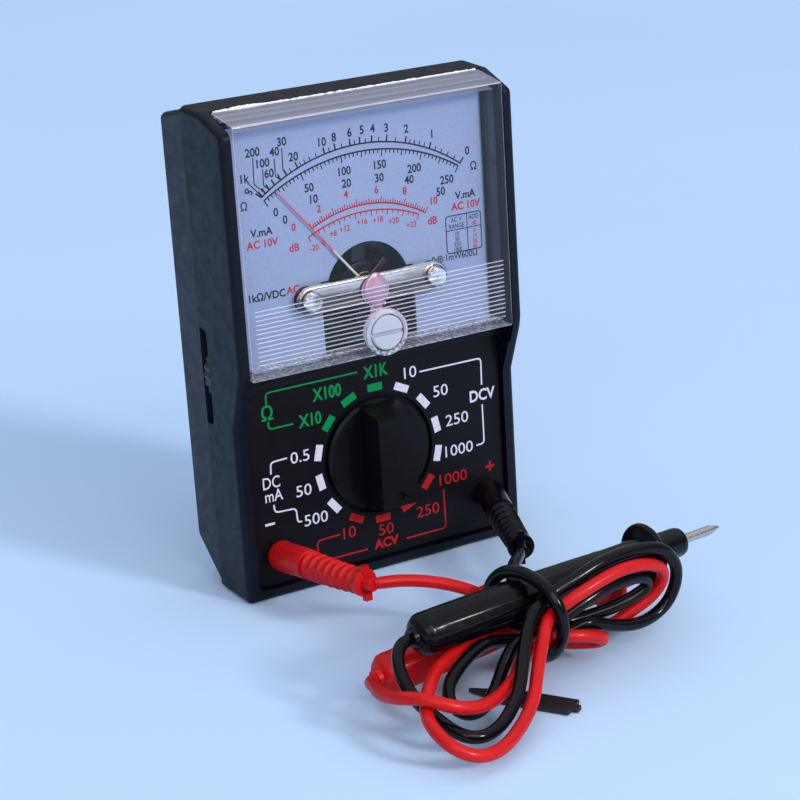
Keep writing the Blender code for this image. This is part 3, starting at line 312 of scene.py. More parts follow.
def bridge_chrome():
    """Bright plating, with a painted reflection of a dark room below and a lamp above in its colour, banded by
    height and broken by painted lengthwise streaks.
    """
    g = Graph("bridge_chrome")
    above = g.maths("SUBTRACT", g.parts()["Z"], middle("bridge").z * MM)
    rise = g.maths("MULTIPLY", above, 1 / (BRIDGE_WIDTH * MM))
    reflection_streak = g.maths("MULTIPLY", g.maths("SUBTRACT", g.noise(900, 4, (0.12, 1, 1)), 0.5), 0.55)
    height = g.maths("ADD", g.maths("ADD", rise, 0.5), reflection_streak)
    # Painted reflection: dark and bright bands by height, in the base colour.
    tint = g.ramp(height, [(0.05, (0.55, 0.45, 0.40)), (0.25, (0.08, 0.06, 0.055)),
                           (0.5, (0.16, 0.13, 0.12)), (0.68, (0.50, 0.42, 0.38)),
                           (0.9, (0.95, 0.86, 0.80))])
    gloss = g.spread(g.noise(500, 3), 0.12, 0.28)
    return g.finish(Base_Color=tint, Metallic=1.0, Roughness=gloss, Normal=g.bump(g.noise(260, 2), 0.05))


def needle_paint():
    """Pale shaft with a red outer part, told apart by the distance from the pivot."""
    g = Graph("needle_paint")
    from_pivot = g.distance(PIVOT[0], "pointer", PIVOT[1])
    share = g.maths("MULTIPLY", from_pivot, 0.3 / RED_FROM)
    tint = g.ramp(share, [(0.29, (0.62, 0.58, 0.52)), (0.31, (0.72, 0.03, 0.06))])
    return g.finish(Base_Color=tint, Roughness=g.spread(g.noise(900), 0.3, 0.45))


def lacquer(name, colour):
    """Translucent lacquer over bright metal."""
    g = Graph(name)
    tint = g.mottle(colour, 500, 4, 0.8, 1.15)
    return g.finish(Base_Color=tint, Metallic=0.35, Roughness=0.22, Coat_Weight=0.6, Coat_Roughness=0.08,
                    Normal=g.bump(g.noise(600, 2), 0.05))


def laminate():
    """Green circuit board with a faint glass weave."""
    g = Graph("board_laminate")
    weave = g.add("ShaderNodeTexWave", {"Scale": 900, "Vector": g.place},
                  wave_type="BANDS", bands_direction="DIAGONAL")
    tint = g.ramp(weave.outputs["Fac"], [(0.0, (0.03, 0.15, 0.06)), (1.0, (0.05, 0.21, 0.09))])
    return g.finish(Base_Color=tint, Roughness=0.4, Coat_Weight=0.3)


def banded(name, body, bands, spacing):
    """A lacquered body with coloured bands along X, for small round components."""
    g = Graph(name)
    wave = g.maths("SINE", g.maths("MULTIPLY", g.parts()["X"], 2 * math.pi / (spacing * MM)))
    tint = g.ramp(wave, [(0.0, body), (0.72, body), (0.78, bands), (1.0, bands)])
    return g.finish(Base_Color=tint, Roughness=0.3, Coat_Weight=0.4, Normal=g.bump(g.noise(900), 0.01))


def floor_paint():
    """Pale blue paper."""
    g = Graph("pale_floor")
    tint = g.ramp(g.noise(3, 3), [(0.35, (0.505, 0.69, 0.98)), (0.65, (0.525, 0.71, 1.0))])
    return g.finish(Base_Color=tint, Roughness=0.65, Specular_IOR_Level=0.2,
                    Normal=g.bump(g.noise(900, 3), 0.02))


def plastics():
    """Mouldings, by finish name. Black ones lean slightly to blue."""
    return {
        "case": plastic("case_plastic", (0.0015, 0.003, 0.009), 0.42, 0.02, 3800, 0.18),
        "cover": plastic("cover_plastic", (0.007, 0.011, 0.022), 0.46, 0.02, 3800, 0.30),
        "panel": plastic("panel_plastic", (0.004, 0.004, 0.006), 0.38, grain=0.008, gloss_level=0.12),
        "knob": plastic("knob_plastic", (0.004, 0.0045, 0.006), 0.32, grain=0.012, gloss_level=0.16),
        "wheel": plastic("wheel_plastic", (0.015, 0.015, 0.017), 0.4),
        "nylon": plastic("white_nylon", (0.72, 0.72, 0.69), 0.4, uneven=0.06),
        "zero_screw": plastic("zero_screw_plastic", (0.44, 0.46, 0.57), 0.5, uneven=0.04),
        "strap": plastic("strap_nylon", (0.010, 0.010, 0.013), 0.5, grain=0.03, grain_scale=1500),
        "glue": plastic("dry_adhesive", (0.80, 0.80, 0.88), 0.4, grain=0.05, grain_scale=1500,
                        uneven=0.08),
        "clear": clear_moulding(),
        "red_pvc": soft_pvc("red_pvc", (0.52, 0.004, 0.006), 0.38, 0.06, 0.22),
        "black_pvc": soft_pvc("black_pvc", (0.002, 0.002, 0.004), 0.15, 0.08, 0.18),
        "black_grip": soft_pvc("black_grip", (0.002, 0.002, 0.003), 0.20, 0.08, 0.16),
    }


def metals():
    """Metals, by finish name."""
    return {
        "bridge": bridge_chrome(),
        "screw_head": metal("bright_screw", (0.80, 0.72, 0.66), 0.16, (1, 1, 1), 0.7),
        "chrome": metal("chrome_plate", (0.50, 0.40, 0.36), 0.16, (0.08, 1, 1), 0.30),
        "steel": metal("plain_steel", (0.58, 0.59, 0.61), 0.28, (1, 0.1, 1)),
        "tip": metal("probe_steel", (0.55, 0.50, 0.46), 0.2, (1, 0.1, 1)),
        # Iron, magnet and copper are darker than their own colours: painted shade inside the case.
        "iron": metal("shaded_soft_iron", (0.035, 0.033, 0.035), 0.42),
        "magnet": metal("shaded_ground_magnet", (0.05, 0.05, 0.055), 0.32, (1, 0.1, 1)),
        "brass": metal("plain_brass", (0.70, 0.50, 0.22), 0.26),
        "copper": metal("shaded_copper_winding", (0.07, 0.035, 0.025), 0.34, (1, 0.05, 1)),
    }


def inks():
    """Printing inks, by finish name."""
    colours = {"black": (0.004, 0.006, 0.018), "dial_red": (0.42, 0.015, 0.03),
               "white": (0.60, 0.60, 0.75), "green": (0.0, 0.22, 0.06), "red": (0.36, 0.008, 0.012)}
    return {f"ink_{name}": ink(f"ink_{name}", colour) for name, colour in colours.items()}


def paints():
    """Paints, lacquers and small components, by finish name."""
    return {
        "dial": dial_paint(),
        "needle": needle_paint(),
        "lever": lacquer("pink_lacquer", (0.58, 0.32, 0.46)),
        "board": laminate(),
        "resistor": banded("resistor_lacquer", (0.12, 0.30, 0.52), (0.50, 0.22, 0.04), 1.9),
        "diode": banded("diode_glass", (0.48, 0.16, 0.05), (0.02, 0.02, 0.02), 4.1),
        "fuse": banded("fuse_glass", (0.62, 0.68, 0.70), (0.52, 0.53, 0.55), 15.0),
        "cell": banded("cell_sleeve", (0.05, 0.16, 0.12), (0.55, 0.56, 0.58), 36.0),
        "floor": floor_paint(),
    }


# ---- geometry helpers

# Edges sharper than this many degrees stay sharp, and points closer than SEAM are welded.
SHARP = 32
SEAM = 0.002


def smooth_by_angle(limit):
    """A modifier tree that shades faces smooth except across edges sharper than the limit."""
    tree = bpy.data.node_groups.new("smooth_by_angle", "GeometryNodeTree")
    for way in ("INPUT", "OUTPUT"):
        tree.interface.new_socket("Geometry", in_out=way, socket_type="NodeSocketGeometry")
    kinds = ("NodeGroupInput", "GeometryNodeSetShadeSmooth", "GeometryNodeSetShadeSmooth",
             "NodeGroupOutput", "GeometryNodeInputMeshEdgeAngle", "FunctionNodeCompare")
    start, faces, edges, end, angle, blunt = (tree.nodes.new(kind) for kind in kinds)
    edges.domain = "EDGE"
    blunt.operation = "LESS_EQUAL"
    blunt.inputs["B"].default_value = math.radians(limit)
    tree.links.new(start.outputs[0], faces.inputs["Geometry"])
    tree.links.new(faces.outputs["Geometry"], edges.inputs["Geometry"])
    tree.links.new(angle.outputs["Unsigned Angle"], blunt.inputs["A"])
    tree.links.new(blunt.outputs["Result"], edges.inputs["Shade Smooth"])
    tree.links.new(edges.outputs["Geometry"], end.inputs[0])
    return tree


SMOOTHING = smooth_by_angle(SHARP)


def smooth(obj):
    obj.modifiers.new("smooth_by_angle", "NODES").node_group = SMOOTHING


def soften(obj, width):
    """Round the sharp edges, so that they catch the light."""
    modifier = obj.modifiers.new("soft_edges", "BEVEL")
    modifier.width = width * MM
    modifier.segments = 2
    modifier.limit_method = "ANGLE"
    modifier.angle_limit = math.radians(SHARP)
    modifier.harden_normals = False


def drop_stored_normals(mesh):
    """Let shading follow the faces instead of the normals that came with the mesh."""
    stored = mesh.attributes.get("custom_normal")
    if stored is not None:
        mesh.attributes.remove(stored)


def dress(node, material, edge):
    """Give a CAD node its finish, weld its seams, and round its edges if edge is given."""
    obj = NODES[node]
    drop_stored_normals(obj.data)
    obj.data.materials.clear()
    obj.data.materials.append(material)
    weld = obj.modifiers.new("weld", "WELD")
    weld.merge_threshold = SEAM * MM
    if edge:
        soften(obj, edge)
    smooth(obj)
    flat = obj.modifiers.new("flat_faces", "WEIGHTED_NORMAL")
    flat.keep_sharp = True


def new_piece(name, work, finish, body, slot, rounded=True):
    """File a finished bmesh as a piece that rides on a body."""
    obj = linked(name, mesh_from(work, name))
    obj.data.materials.append(finishes[finish])
    if rounded:
        smooth(obj)
    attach(obj, body)
    return obj


def stand_in(name, work, finish, body, node):
    """A piece that takes a CAD node's place."""
    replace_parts(new_piece(name, work, finish, body, SLOTS[node]), node)


def drawn(name, curve, place=Matrix()):
    """The mesh that a curve or a text makes at a place, in world coordinates."""
    holder = linked(name, curve)
    holder.matrix_world = place
    bpy.context.view_layer.update()
    shape = holder.evaluated_get(bpy.context.evaluated_depsgraph_get())
    mesh = bpy.data.meshes.new_from_object(shape)
    mesh.transform(holder.matrix_world)
    bpy.data.objects.remove(holder, do_unlink=True)
    return mesh


def skin(work, rings, closed=False):
    """Add the faces of a tube through rings of vertices, closed on itself or with an end on each side."""
    count = len(rings[0])
    followers = rings[1:] + rings[:1] if closed else rings[1:]
    for first, second in zip(rings, followers):
        for k in range(count):
            j = (k + 1) % count
            work.faces.new((first[k], first[j], second[j], second[k]))
    if not closed:
        work.faces.new(rings[0][::-1])
        work.faces.new(rings[-1])


# Height of the font's capitals as a share of its size.
CAPITAL_HEIGHT = 0.69


class Print:
    """Ink of one colour on a flat face. Shapes are added at (x, z) and become one thin piece."""

    THICKNESS = 0.04

    def __init__(self, name, front, finish, slot):
        self.name = name
        self.front = front
        self.finish = finish
        self.slot = slot
        self.work = bmesh.new()

    def place(self, x, z, angle=0.0):
        """The matrix of a drawing at (x, z), turned anticlockwise by an angle in degrees."""
        spot = Matrix.Translation(Vector((x, -self.front, z)) * MM)
        return spot @ UPRIGHT @ Matrix.Rotation(math.radians(angle), 4, "Z")

    def text(self, x, z, words, size, narrow=1.0, weight=0.0, angle=0.0):
        """Words centred on (x, z). size is the height of a capital in millimetres."""
        curve = bpy.data.curves.new(self.name, "FONT")
        curve.body = words
        curve.size = size / CAPITAL_HEIGHT * MM
        curve.align_x = "CENTER"
        curve.resolution_u = 3
        curve.extrude = self.THICKNESS / 2 * MM
        curve.offset = weight * MM
        down = Matrix.Translation(Vector((0, -size / 2 * MM, 0)))
        place = self.place(x, z, angle) @ down @ Matrix.Diagonal((narrow, 1, 1, 1))
        self.work.from_mesh(drawn(self.name, curve, place))

    def stroke(self, points, width, closed=False, soft_corners=0.0):
        """A line of even width through (x, z) points."""
        if soft_corners:
            points = round_corners(points, soft_corners, closed)
        left, right = offset_line(points, width / 2, closed)
        self.strip(left, right, closed)

    def strip(self, left, right, closed):
        """A thin solid between two lines of (x, z) points."""
        near, far = (-self.front - side * self.THICKNESS / 2 for side in (1, -1))
        rings = []
        for one, two in zip(left, right):
            section = ((one, near), (two, near), (two, far), (one, far))
            rings.append([self.work.verts.new(Vector((x, y, z)) * MM) for (x, z), y in section])
        skin(self.work, rings, closed)

    def tick(self, centre, radius, bearing, length, width):
        """A radial line outwards from a radius. Its bearing is clockwise from straight up, in degrees."""
        ends = (polar(centre, radius, bearing), polar(centre, radius + length, bearing))
        self.stroke(ends, width)

    def arc(self, centre, radius, start, end, width, steps=48):
        bearings = [start + (end - start) * i / steps for i in range(steps + 1)]
        self.stroke([polar(centre, radius, bearing) for bearing in bearings], width)

    def file(self):
        new_piece(self.name, self.work, self.finish, "case", self.slot, rounded=False)


def polar(centre, radius, bearing):
    angle = math.radians(bearing)
    return centre[0] + radius * math.sin(angle), centre[1] + radius * math.cos(angle)


def round_corners(points, radius, closed=False, steps=4):
    """Replace each inner corner of a line by a short curve."""
    points = [Vector(point) for point in points]
    inner = range(len(points)) if closed else range(1, len(points) - 1)
    result = []
    for i, point in enumerate(points):
        if i not in inner:
            result.append(tuple(point))
            continue
        before, after = points[i - 1], points[(i + 1) % len(points)]
        start = point + (before - point).normalized() * min(radius, (before - point).length / 2)
        end = point + (after - point).normalized() * min(radius, (after - point).length / 2)
        for k in range(steps + 1):
            t = k / steps
            result.append(tuple(start * (1 - t) ** 2 + point * 2 * t * (1 - t) + end * t * t))
    return result


def offset_line(points, distance, closed):
    """Two lines on either side of one, mitred at its corners."""
    points = [Vector(point) for point in points]
    count = len(points)
    left, right = [], []
    for i, point in enumerate(points):
        before = points[i - 1] if closed or i else point
        after = points[(i + 1) % count] if closed or i < count - 1 else point
        one = (point - before).normalized() if before != point else (after - point).normalized()
        two = (after - point).normalized() if after != point else one
        normal = Vector((-(one.y + two.y), one.x + two.x)).normalized()
        reach = distance / max(0.3, normal.dot(Vector((-one.y, one.x))))
        left.append(tuple(point + normal * reach))
        right.append(tuple(point - normal * reach))
    return left, right


# ---- panel printing

TICK_RADIUS = 14.17
TICK_LENGTH = 1.6
TICK_WIDTH = 3.4
# The size, narrowing and weight of the range names of each colour.
LABEL_STYLES = {"green": (2.5, 0.80, 0.10), "white": (2.38, 1.1, 0.01), "red": (2.38, 1.1, 0.01)}
POSITION_COLOURS = ["green"] + ["white"] * 4 + ["red"] * 4 + ["white"] * 3 + ["green"] * 2
PANEL_WORDS = {
    "green": [(-15.1, 35.5, "X10"), (-10.9, 40.3, "X100"), (0.4, 42.5, "X1K")],
    "white": [(8.1, 40.5, "10"), (15.3, 35.1, "50"), (18.9, 28.2, "250"), (18.7, 21.5, "1000"),
              (-15.5, 14.4, "500"), (-17.8, 21.0, "50"), (-18.0, 28.3, "0.5")],
    "red": [(16.9, 15.6, "1000"), (10.7, 9.9, "250"), (0.5, 8.2, "50"), (-8.4, 9.5, "10")],
}
PANEL_TITLES = [
    ("white", -24.9, 24.3, "DC", 2.45, 0.80, 0.02), ("white", -24.6, 21.5, "mA", 2.45, 0.80, 0.02),
    ("white", 25.2, 32.1, "DCV", 2.35, 0.88, 0.08), ("green", -24.6, 38.8, "Ω", 2.9, 0.9, 0.06),
    ("red", 0.4, 5.3, "ACV", 1.9, 1.0, 0.12),
]
BRACKETS = {
    "green": [[(-24.6, 40.6), (-24.6, 43.0), (-3.8, 43.0)],
              [(-24.5, 37.0), (-24.5, 35.4), (-19.0, 35.4)]],
    "white": [[(10.6, 40.1), (25.4, 40.0), (25.3, 34.2)], [(25.2, 29.9), (25.2, 21.3), (23.3, 21.3)],
              [(-21.0, 28.6), (-24.7, 28.5), (-24.8, 26.0)],
              [(-24.7, 19.5), (-24.6, 17.8), (-19.8, 17.6), (-19.7, 14.6), (-18.7, 14.5)]],
    "red": [[(-10.2, 9.6), (-15.6, 9.4), (-15.7, 4.8), (-4.1, 4.8)],
            [(14.7, 13.4), (14.8, 4.9), (5.2, 4.9)]],
}


def panel_titles(prints):
    """The names of the groups of ranges, and the signs of the two jacks."""
    for colour, *word in PANEL_TITLES:
        prints[colour].text(*word)
    prints["white"].stroke([(-27.0, 15.6), (-24.8, 15.6)], 0.5)
    for start, end in [((25.2, 16.0), (27.4, 16.0)), ((26.3, 17.1), (26.3, 16.25)),
                       ((26.3, 15.75), (26.3, 14.9))]:
        prints["red"].stroke([start, end], 0.5)


def panel_prints():
    prints = {}
    for colour in ("white", "green", "red"):
        prints[colour] = Print(f"panel_print_{colour}", PANEL_FRONT, f"ink_{colour}", "panel")
    for index, colour in enumerate(POSITION_COLOURS):
        bearing = 360 / len(POSITION_COLOURS) * index
        prints[colour].tick(KNOB_CENTRE, TICK_RADIUS - TICK_LENGTH / 2, bearing, TICK_LENGTH, TICK_WIDTH)
    for colour, words in PANEL_WORDS.items():
        for x, z, label in words:
            prints[colour].text(x, z, label, *LABEL_STYLES[colour])
    for colour, lines in BRACKETS.items():
        for points in lines:
            prints[colour].stroke(points, 0.34, soft_corners=0.9)
    panel_titles(prints)
    for sheet in prints.values():
        sheet.file()


# ---- dial printing

# Each scale: centre (x, z), radius, first and last bearing.
OHM_ARC = ((0.0, 50.9), 38.3, -35.3, 36.5)
VOLT_ARC = ((0.2, 46.5), 41.2, -32.0, 32.5)
AC_ARC = ((0.1, 51.1), 25.9, -27.0, 32.5)
DB_ARC = ((0.3, 46.6), 29.0, -26.5, 25.0)
HALF_SCALE_OHMS = 4.9
NEARLY_OPEN = 5000

# Lines from the crowded end of the ohm scale up to its numbers.
LEADERS = {
    NEARLY_OPEN: [(-23.3, 83.1)], 1000: [(-24.8, 85.5)], 200: [(-23.45, 84.95), (-23.3, 90.1)],
    100: [(-21.45, 84.4), (-21.4, 87.6)], 40: [(-18.75, 85.8), (-18.75, 89.3)],
    30: [(-17.05, 86.85), (-16.95, 91.1)],
}


def ohm_bearing(value):
    """Place of a resistance on its reversed, crowded scale."""
    _, _, start, end = OHM_ARC
    return start + (end - start) * HALF_SCALE_OHMS / (HALF_SCALE_OHMS + value)


def even_ticks(sheet, scale, count, lengths, width, outwards):
    """Evenly spaced ticks. lengths maps every n-th tick to its length, the longest step first."""
    centre, radius, start, end = scale
    for index in range(count + 1):
        length = next(size for step, size in lengths if index % step == 0)
        bearing = start + (end - start) * index / count
        sheet.tick(centre, radius, bearing, length if outwards else -length, width)


def ohm_scale(black):
    centre, radius, start, end = OHM_ARC
    black.arc(centre, radius, start, end, 0.32)
    for value in (0, 1, 2, 3, 4, 5, 6, 8, 10, 20, 30, 40, 60, 100, 200, 1000):
        black.tick(centre, radius, ohm_bearing(value), 1.35, 0.34)
    for value in (0.2, 0.4, 0.6, 0.8, 1.2, 1.4, 1.6, 1.8, 2.5, 3.5, 4.5, 5.5, 7, 9, 12, 14, 16, 18, 25):
        black.tick(centre, radius, ohm_bearing(value), 0.9, 0.22)
    for value, corners in LEADERS.items():
        foot = polar(centre, radius, ohm_bearing(value))
        black.stroke([foot] + corners, 0.22 if value < NEARLY_OPEN else 0.36)


# Numbers and notes on the dial: their size, narrowing and weight, then the places of each.
BLACK_WORDS = [
    ((1.62, 0.9, 0.055),
     [(-23.3, 91.2, "200"), (-21.4, 88.8, "100"), (-20.1, 86.6, "60"), (-18.6, 90.6, "40"),
      (-16.9, 92.3, "30"), (-14.6, 89.0, "20"), (-8.3, 90.9, "10"), (-5.5, 91.4, "8"), (-2, 91.8, "6"),
      (0.8, 91.9, "5"), (3.2, 91.8, "4"), (6.3, 91.5, "3"), (10.8, 90.6, "2"), (16.6, 88.6, "1"),
      (24.6, 84.0, "0"), (-25.6, 86.4, "1k"), (-11.7, 82.4, "50"), (-3.8, 84.4, "100"),
      (4.2, 84.4, "150"), (12.1, 82.4, "200"), (19.5, 78.9, "250"), (-11, 80.0, "10"),
      (-3.4, 81.9, "20"), (4.0, 81.8, "30"), (10.8, 80.3, "40"), (17.9, 76.7, "50"),
      (-19.3, 78.8, "0"), (-17.4, 77.0, "0")]),
    ((1.62, 0.9, 0.03), [(25.9, 80.7, "Ω"), (-26.0, 81.0, "Ω")]),
    ((1.5, 0.95, 0.055), [(23.6, 75.2, "V.mA"), (-22.7, 75.4, "V.mA"), (-22.7, 62.6, "1kΩ/VDC")]),
    ((1.4, 0.85, 0.02), [(20.4, 62.8, "0dB:1mW600Ω")]),
]
RED_WORDS = [
    ((1.45, 0.92, 0.05),
     [(-15.7, 75.2, "0"), (-9.9, 77.9, "2"), (-3.7, 79.7, "4"), (3.2, 79.5, "6"), (9.6, 78.2, "8"),
      (16.1, 75.1, "10")]),
    ((1.15, 0.92, 0.025),
     [(-11.5, 70.3, "-20"), (-9.3, 71.0, "0"), (-7.1, 72.4, "+8"), (-4.5, 72.9, "+12"),
      (-0.5, 73.6, "+16"), (3.1, 73.4, "+18"), (6.7, 72.6, "+20"), (10.7, 71.1, "+22")]),
    ((1.5, 0.95, 0.055),
     [(23.6, 73.0, "AC 10V"), (-22.7, 73.1, "AC 10V"), (15.6, 71.1, "dB"), (-15.9, 71.1, "dB"),
      (-16.8, 62.8, "AC")]),
]


def dial_words(black, red):
    for sheet, groups in ((black, BLACK_WORDS), (red, RED_WORDS)):
        for style, words in groups:
            for x, z, label in words:
                sheet.text(x, z, label, *style)
    black.text(-24.7, 83.7, "∞", 1.62, 0.9, 0.05, angle=-35)


def range_table(black, red):
    """Small boxed table of the ranges and what each adds in decibels."""
    left, right, foot, top = 18.7, 27.0, 63.5, 71.2
    divide, header = 23.7, 68.2
    corners = [(left, foot), (right, foot), (right, top), (left, top)]
    black.stroke(corners, 0.22, closed=True, soft_corners=0.7)
    black.stroke([(divide, foot), (divide, top)], 0.18)
    black.stroke([(left, header), (right, header)], 0.18)
    first, second = (left + divide) / 2, (divide + right) / 2
    for x, z, label in [(first, 70.3, "AC V"), (first, 69.0, "RANGE"), (second, 70.3, "ADD")]:
        black.text(x, z, label, 0.95, 0.8, 0.01)
    red.text(second, 69.0, "dB", 0.95, 0.85, 0.01)
    for row, (volts, decibels) in enumerate([("10", "0"), ("50", "14"), ("250", "28"), ("1000", "40")]):
        for sheet, x, label in [(black, first, volts), (red, second, decibels)]:
            sheet.text(x, 67.35 - 1.08 * row, label, 0.85, 0.85, 0.01)


def dial_prints():
    black = Print("dial_print_black", DIAL_FRONT, "ink_black", "dial")
    red = Print("dial_print_red", DIAL_FRONT, "ink_dial_red", "dial")
    ohm_scale(black)
    black.arc(*VOLT_ARC, 0.32)
    even_ticks(black, VOLT_ARC, 50, [(10, 1.5), (5, 1.2), (1, 0.8)], 0.24, False)
    red.arc(*AC_ARC, 0.3)
    even_ticks(red, AC_ARC, 50, [(10, 1.35), (5, 1.1), (1, 0.75)], 0.22, True)
    red.arc(*DB_ARC, 0.3)
    even_ticks(red, DB_ARC, 21, [(3, 1.15), (1, 0.75)], 0.22, False)
    dial_words(black, red)
    range_table(black, red)
    black.file()
    red.file()


# ---- window

FLUTE_PITCH = 0.9
FLUTE_COUNT = 14
FLUTE_DEPTH = 0.1
FLUTE_HALF = 0.13
FLUTE_TOP = 61.6
# The flutes' distance from the window's sides, and the zero screw boss's height over its face.
FLUTE_MARGIN = 1.7
BOSS_HEIGHT = 0.7
WEDGE_HEIGHT = 2.0


def flute_spans(z):
    """The stretches of x that a flute at height z covers, clear of the boss round the zero screw."""
    end = high("window_lens").x - FLUTE_MARGIN
    off = abs(z - ZERO_CENTRE[1])
    if off >= BOSS_RADIUS:
        return [(-end, end)]
    gap = math.sqrt(BOSS_RADIUS ** 2 - off ** 2)
    return [(-end, -gap), (gap, end)]


def flute_cutter():
    """Fine grooves across the foot of the window, as wedges to cut from its front face."""
    work = bmesh.new()
    apex = -low("window_lens").y - BOSS_HEIGHT - FLUTE_DEPTH
    proud = apex + WEDGE_HEIGHT
    spread = WEDGE_HEIGHT * FLUTE_HALF / FLUTE_DEPTH
    for index in range(FLUTE_COUNT):
        z = FLUTE_TOP - FLUTE_PITCH * index
        outline = [(apex, z), (proud, z + spread), (proud, z - spread)]
        for span in flute_spans(z):
            skin(work, [[work.verts.new(Vector((x, -front, height)) * MM) for front, height in outline]
                        for x in span])
    cutter = linked("flute_cutter", mesh_from(work, "flute_cutter"))
    cutter.hide_render = True
    cutter.display_type = "WIRE"
    return cutter


def flute_window():
    """Cut the flutes from the window, straight after its seams are welded."""
    lens = NODES["window_lens"]
    modifier = lens.modifiers.new("flutes", "BOOLEAN")
    modifier.operation = "DIFFERENCE"
    modifier.object = flute_cutter()
    lens.modifiers.move(len(lens.modifiers) - 1, 1)


# ---- swept pieces

def quad_copy(node, levels, swell):
    """A finer copy of a CAD tube: triangles paired to quads, subdivided, and swelled back to size."""
    mesh = NODES[node].data.copy()
    work = bmesh.new()
    work.from_mesh(mesh)
    bmesh.ops.remove_doubles(work, verts=work.verts, dist=SEAM * MM)
    widest = math.radians(60)
    bmesh.ops.join_triangles(work, faces=work.faces, angle_face_threshold=widest,
                             angle_shape_threshold=widest)
    for face in work.faces:
        face.smooth = True
    work.to_mesh(mesh)
    work.free()
    drop_stored_normals(mesh)
    obj = linked(node + "_jacket", mesh)
    finer = obj.modifiers.new("finer", "SUBSURF")
    finer.levels = finer.render_levels = levels
    swelled = obj.modifiers.new("swell", "DISPLACE")
    swelled.strength = swell * MM
    swelled.mid_level = 0.0
    return obj


def walk(path, distances):
    """The place and the heading at each distance along a path."""
    along = [0.0]
    for before, after in zip(path, path[1:]):
        along.append(along[-1] + (after - before).length)
    for distance in distances:
        i = max(0, min(len(path) - 2, int(np.searchsorted(along, distance)) - 1))
        step = path[i + 1] - path[i]
        ahead = step.normalized()
        if 0 < i < len(path) - 2:
            ahead = (path[i + 2] - path[i - 1]).normalized()
        yield path[i] + step * ((distance - along[i]) / step.length), ahead


def section_reach(radius, angle, flatness, flats):
    """Distance from the axis at an angle, for a section between a circle and a polygon."""
    if not flatness:
        return radius
    within = angle % (2 * math.pi / flats) - math.pi / flats
    flat = math.cos(math.pi / flats) / math.cos(within)
    return radius * (1 - flatness + flatness * flat)


def sweep(path, profile, sides=40, flats=0):
    """A bmesh solid along a path of (x, y, z) points in millimetres.

    The profile is a list of (distance, radius), or (distance, radius, flatness) where the round
    section blends into a polygon with that many flats.
    """
    path = [Vector(point) for point in path]
    work = bmesh.new()
    rings = []
    side = None
    for (centre, ahead), (_, radius, *flatness) in zip(walk(path, [row[0] for row in profile]), profile):
        start = ahead.orthogonal() if side is None else side
        side = (start - ahead * start.dot(ahead)).normalized()
        other = ahead.cross(side)
        ring = []
        for k in range(sides):
            angle = 2 * math.pi * k / sides
            reach = section_reach(radius, angle, sum(flatness), flats)
            outwards = side * math.cos(angle) + other * math.sin(angle)
            ring.append(work.verts.new((centre + outwards * reach) * MM))
        rings.append(ring)
    skin(work, rings)
    return work


def curved(corners, step=0.5):
    """Evenly spaced points on a Catmull-Rom curve through the corners."""
    corners = [Vector(corner) for corner in corners]
    padded = [2 * corners[0] - corners[1]] + corners + [2 * corners[-1] - corners[-2]]
    points = []
    for a, b, c, d in zip(padded, padded[1:], padded[2:], padded[3:]):
        count = max(2, int((c - b).length / step))
        for index in range(count):
            t = index / count
            points.append(0.5 * (2 * b + (c - a) * t + (2 * a - 5 * b + 4 * c - d) * t ** 2
                                 + (3 * b - a - 3 * c + d) * t ** 3))
    return points + [corners[-1]]


# A boot's centre line from its jack's place in the panel: across, forwards, up.
BOOT_BENDS = {
    "red": [(0, 0.4, 0), (0.1, 3.7, 0.2), (0.7, 9.7, 0.9), (2.2, 19.7, 1.4), (4.0, 29.9, 2.2),
            (4.35, 31.6, 2.4)],
    "black": [(0, 0.4, 0), (-1.1, 3.7, 0), (-3.3, 9.7, -0.4), (-6.6, 19.2, -1.2), (-10.3, 29.1, -1.3),
              (-11.2, 30.7, -1.35)],
}
BOOT_RADIUS = 3.12
BOOT_TAPER = 0.62
COLLAR_LENGTH = 2.2
FLANGE_WIDTH = 1.5
FLANGE_RADIUS = 2.75
RIBS = 7
RIB_DEPTH = 0.6


def boot_profile(length):
    """Smooth grip, rounded ribs, an end flange and a short collar round the wire."""
    end = length - COLLAR_LENGTH
    flange = end - FLANGE_WIDTH
    ribs_from, ribs_to = 0.36 * length, flange - 0.5
    profile = [(0.0, 2.3), (0.2, 2.7), (0.6, 2.95)]
    distance = 1.2
    while distance < flange:
        radius = BOOT_RADIUS - BOOT_TAPER * (distance / length) ** 1.5
        if ribs_from < distance < ribs_to:
            phase = (distance - ribs_from) / (ribs_to - ribs_from) * RIBS
            ridge = (0.5 - 0.5 * math.cos(2 * math.pi * phase)) ** 2.6
            radius -= RIB_DEPTH * (1 - ridge)
        profile.append((distance, radius))
        distance += 0.14
    rim = FLANGE_RADIUS - 0.15
    return profile + [(flange, 2.3), (flange + 0.05, rim), (flange + 0.25, FLANGE_RADIUS),
                      (end - 0.25, FLANGE_RADIUS), (end - 0.05, rim), (end, 2.3), (end + 0.02, 1.5),
                      (end + 0.5, 1.4), (length - 0.1, 1.32), (length, 1.2)]


def boots():
    for colour, jack in (("red", "jack_sleeve_negative"), ("black", "jack_sleeve_positive")):
        start = middle(jack)
        path = curved([(start.x + x, -PANEL_FRONT - forwards, start.z + z)
                       for x, forwards, z in BOOT_BENDS[colour]])
        length = sum((b - a).length for a, b in zip(path, path[1:]))
        work = sweep(path, boot_profile(length), sides=44)
        add_flange_tabs(work, path)
        stand_in(colour + "_boot", work, colour + "_pvc", "leads", colour + "_plug_boot")


def jack_collars():
    """Black insulating washers over the ends of the brass jacks."""
    for side in ("negative", "positive"):
        centre = middle(f"jack_sleeve_{side}")
        sheet = Print(f"jack_collar_{side}", PANEL_FRONT + 0.12, "panel", "panel")
        sheet.arc((centre.x, centre.z), 2.95, 0, 360, 1.5)
        sheet.file()


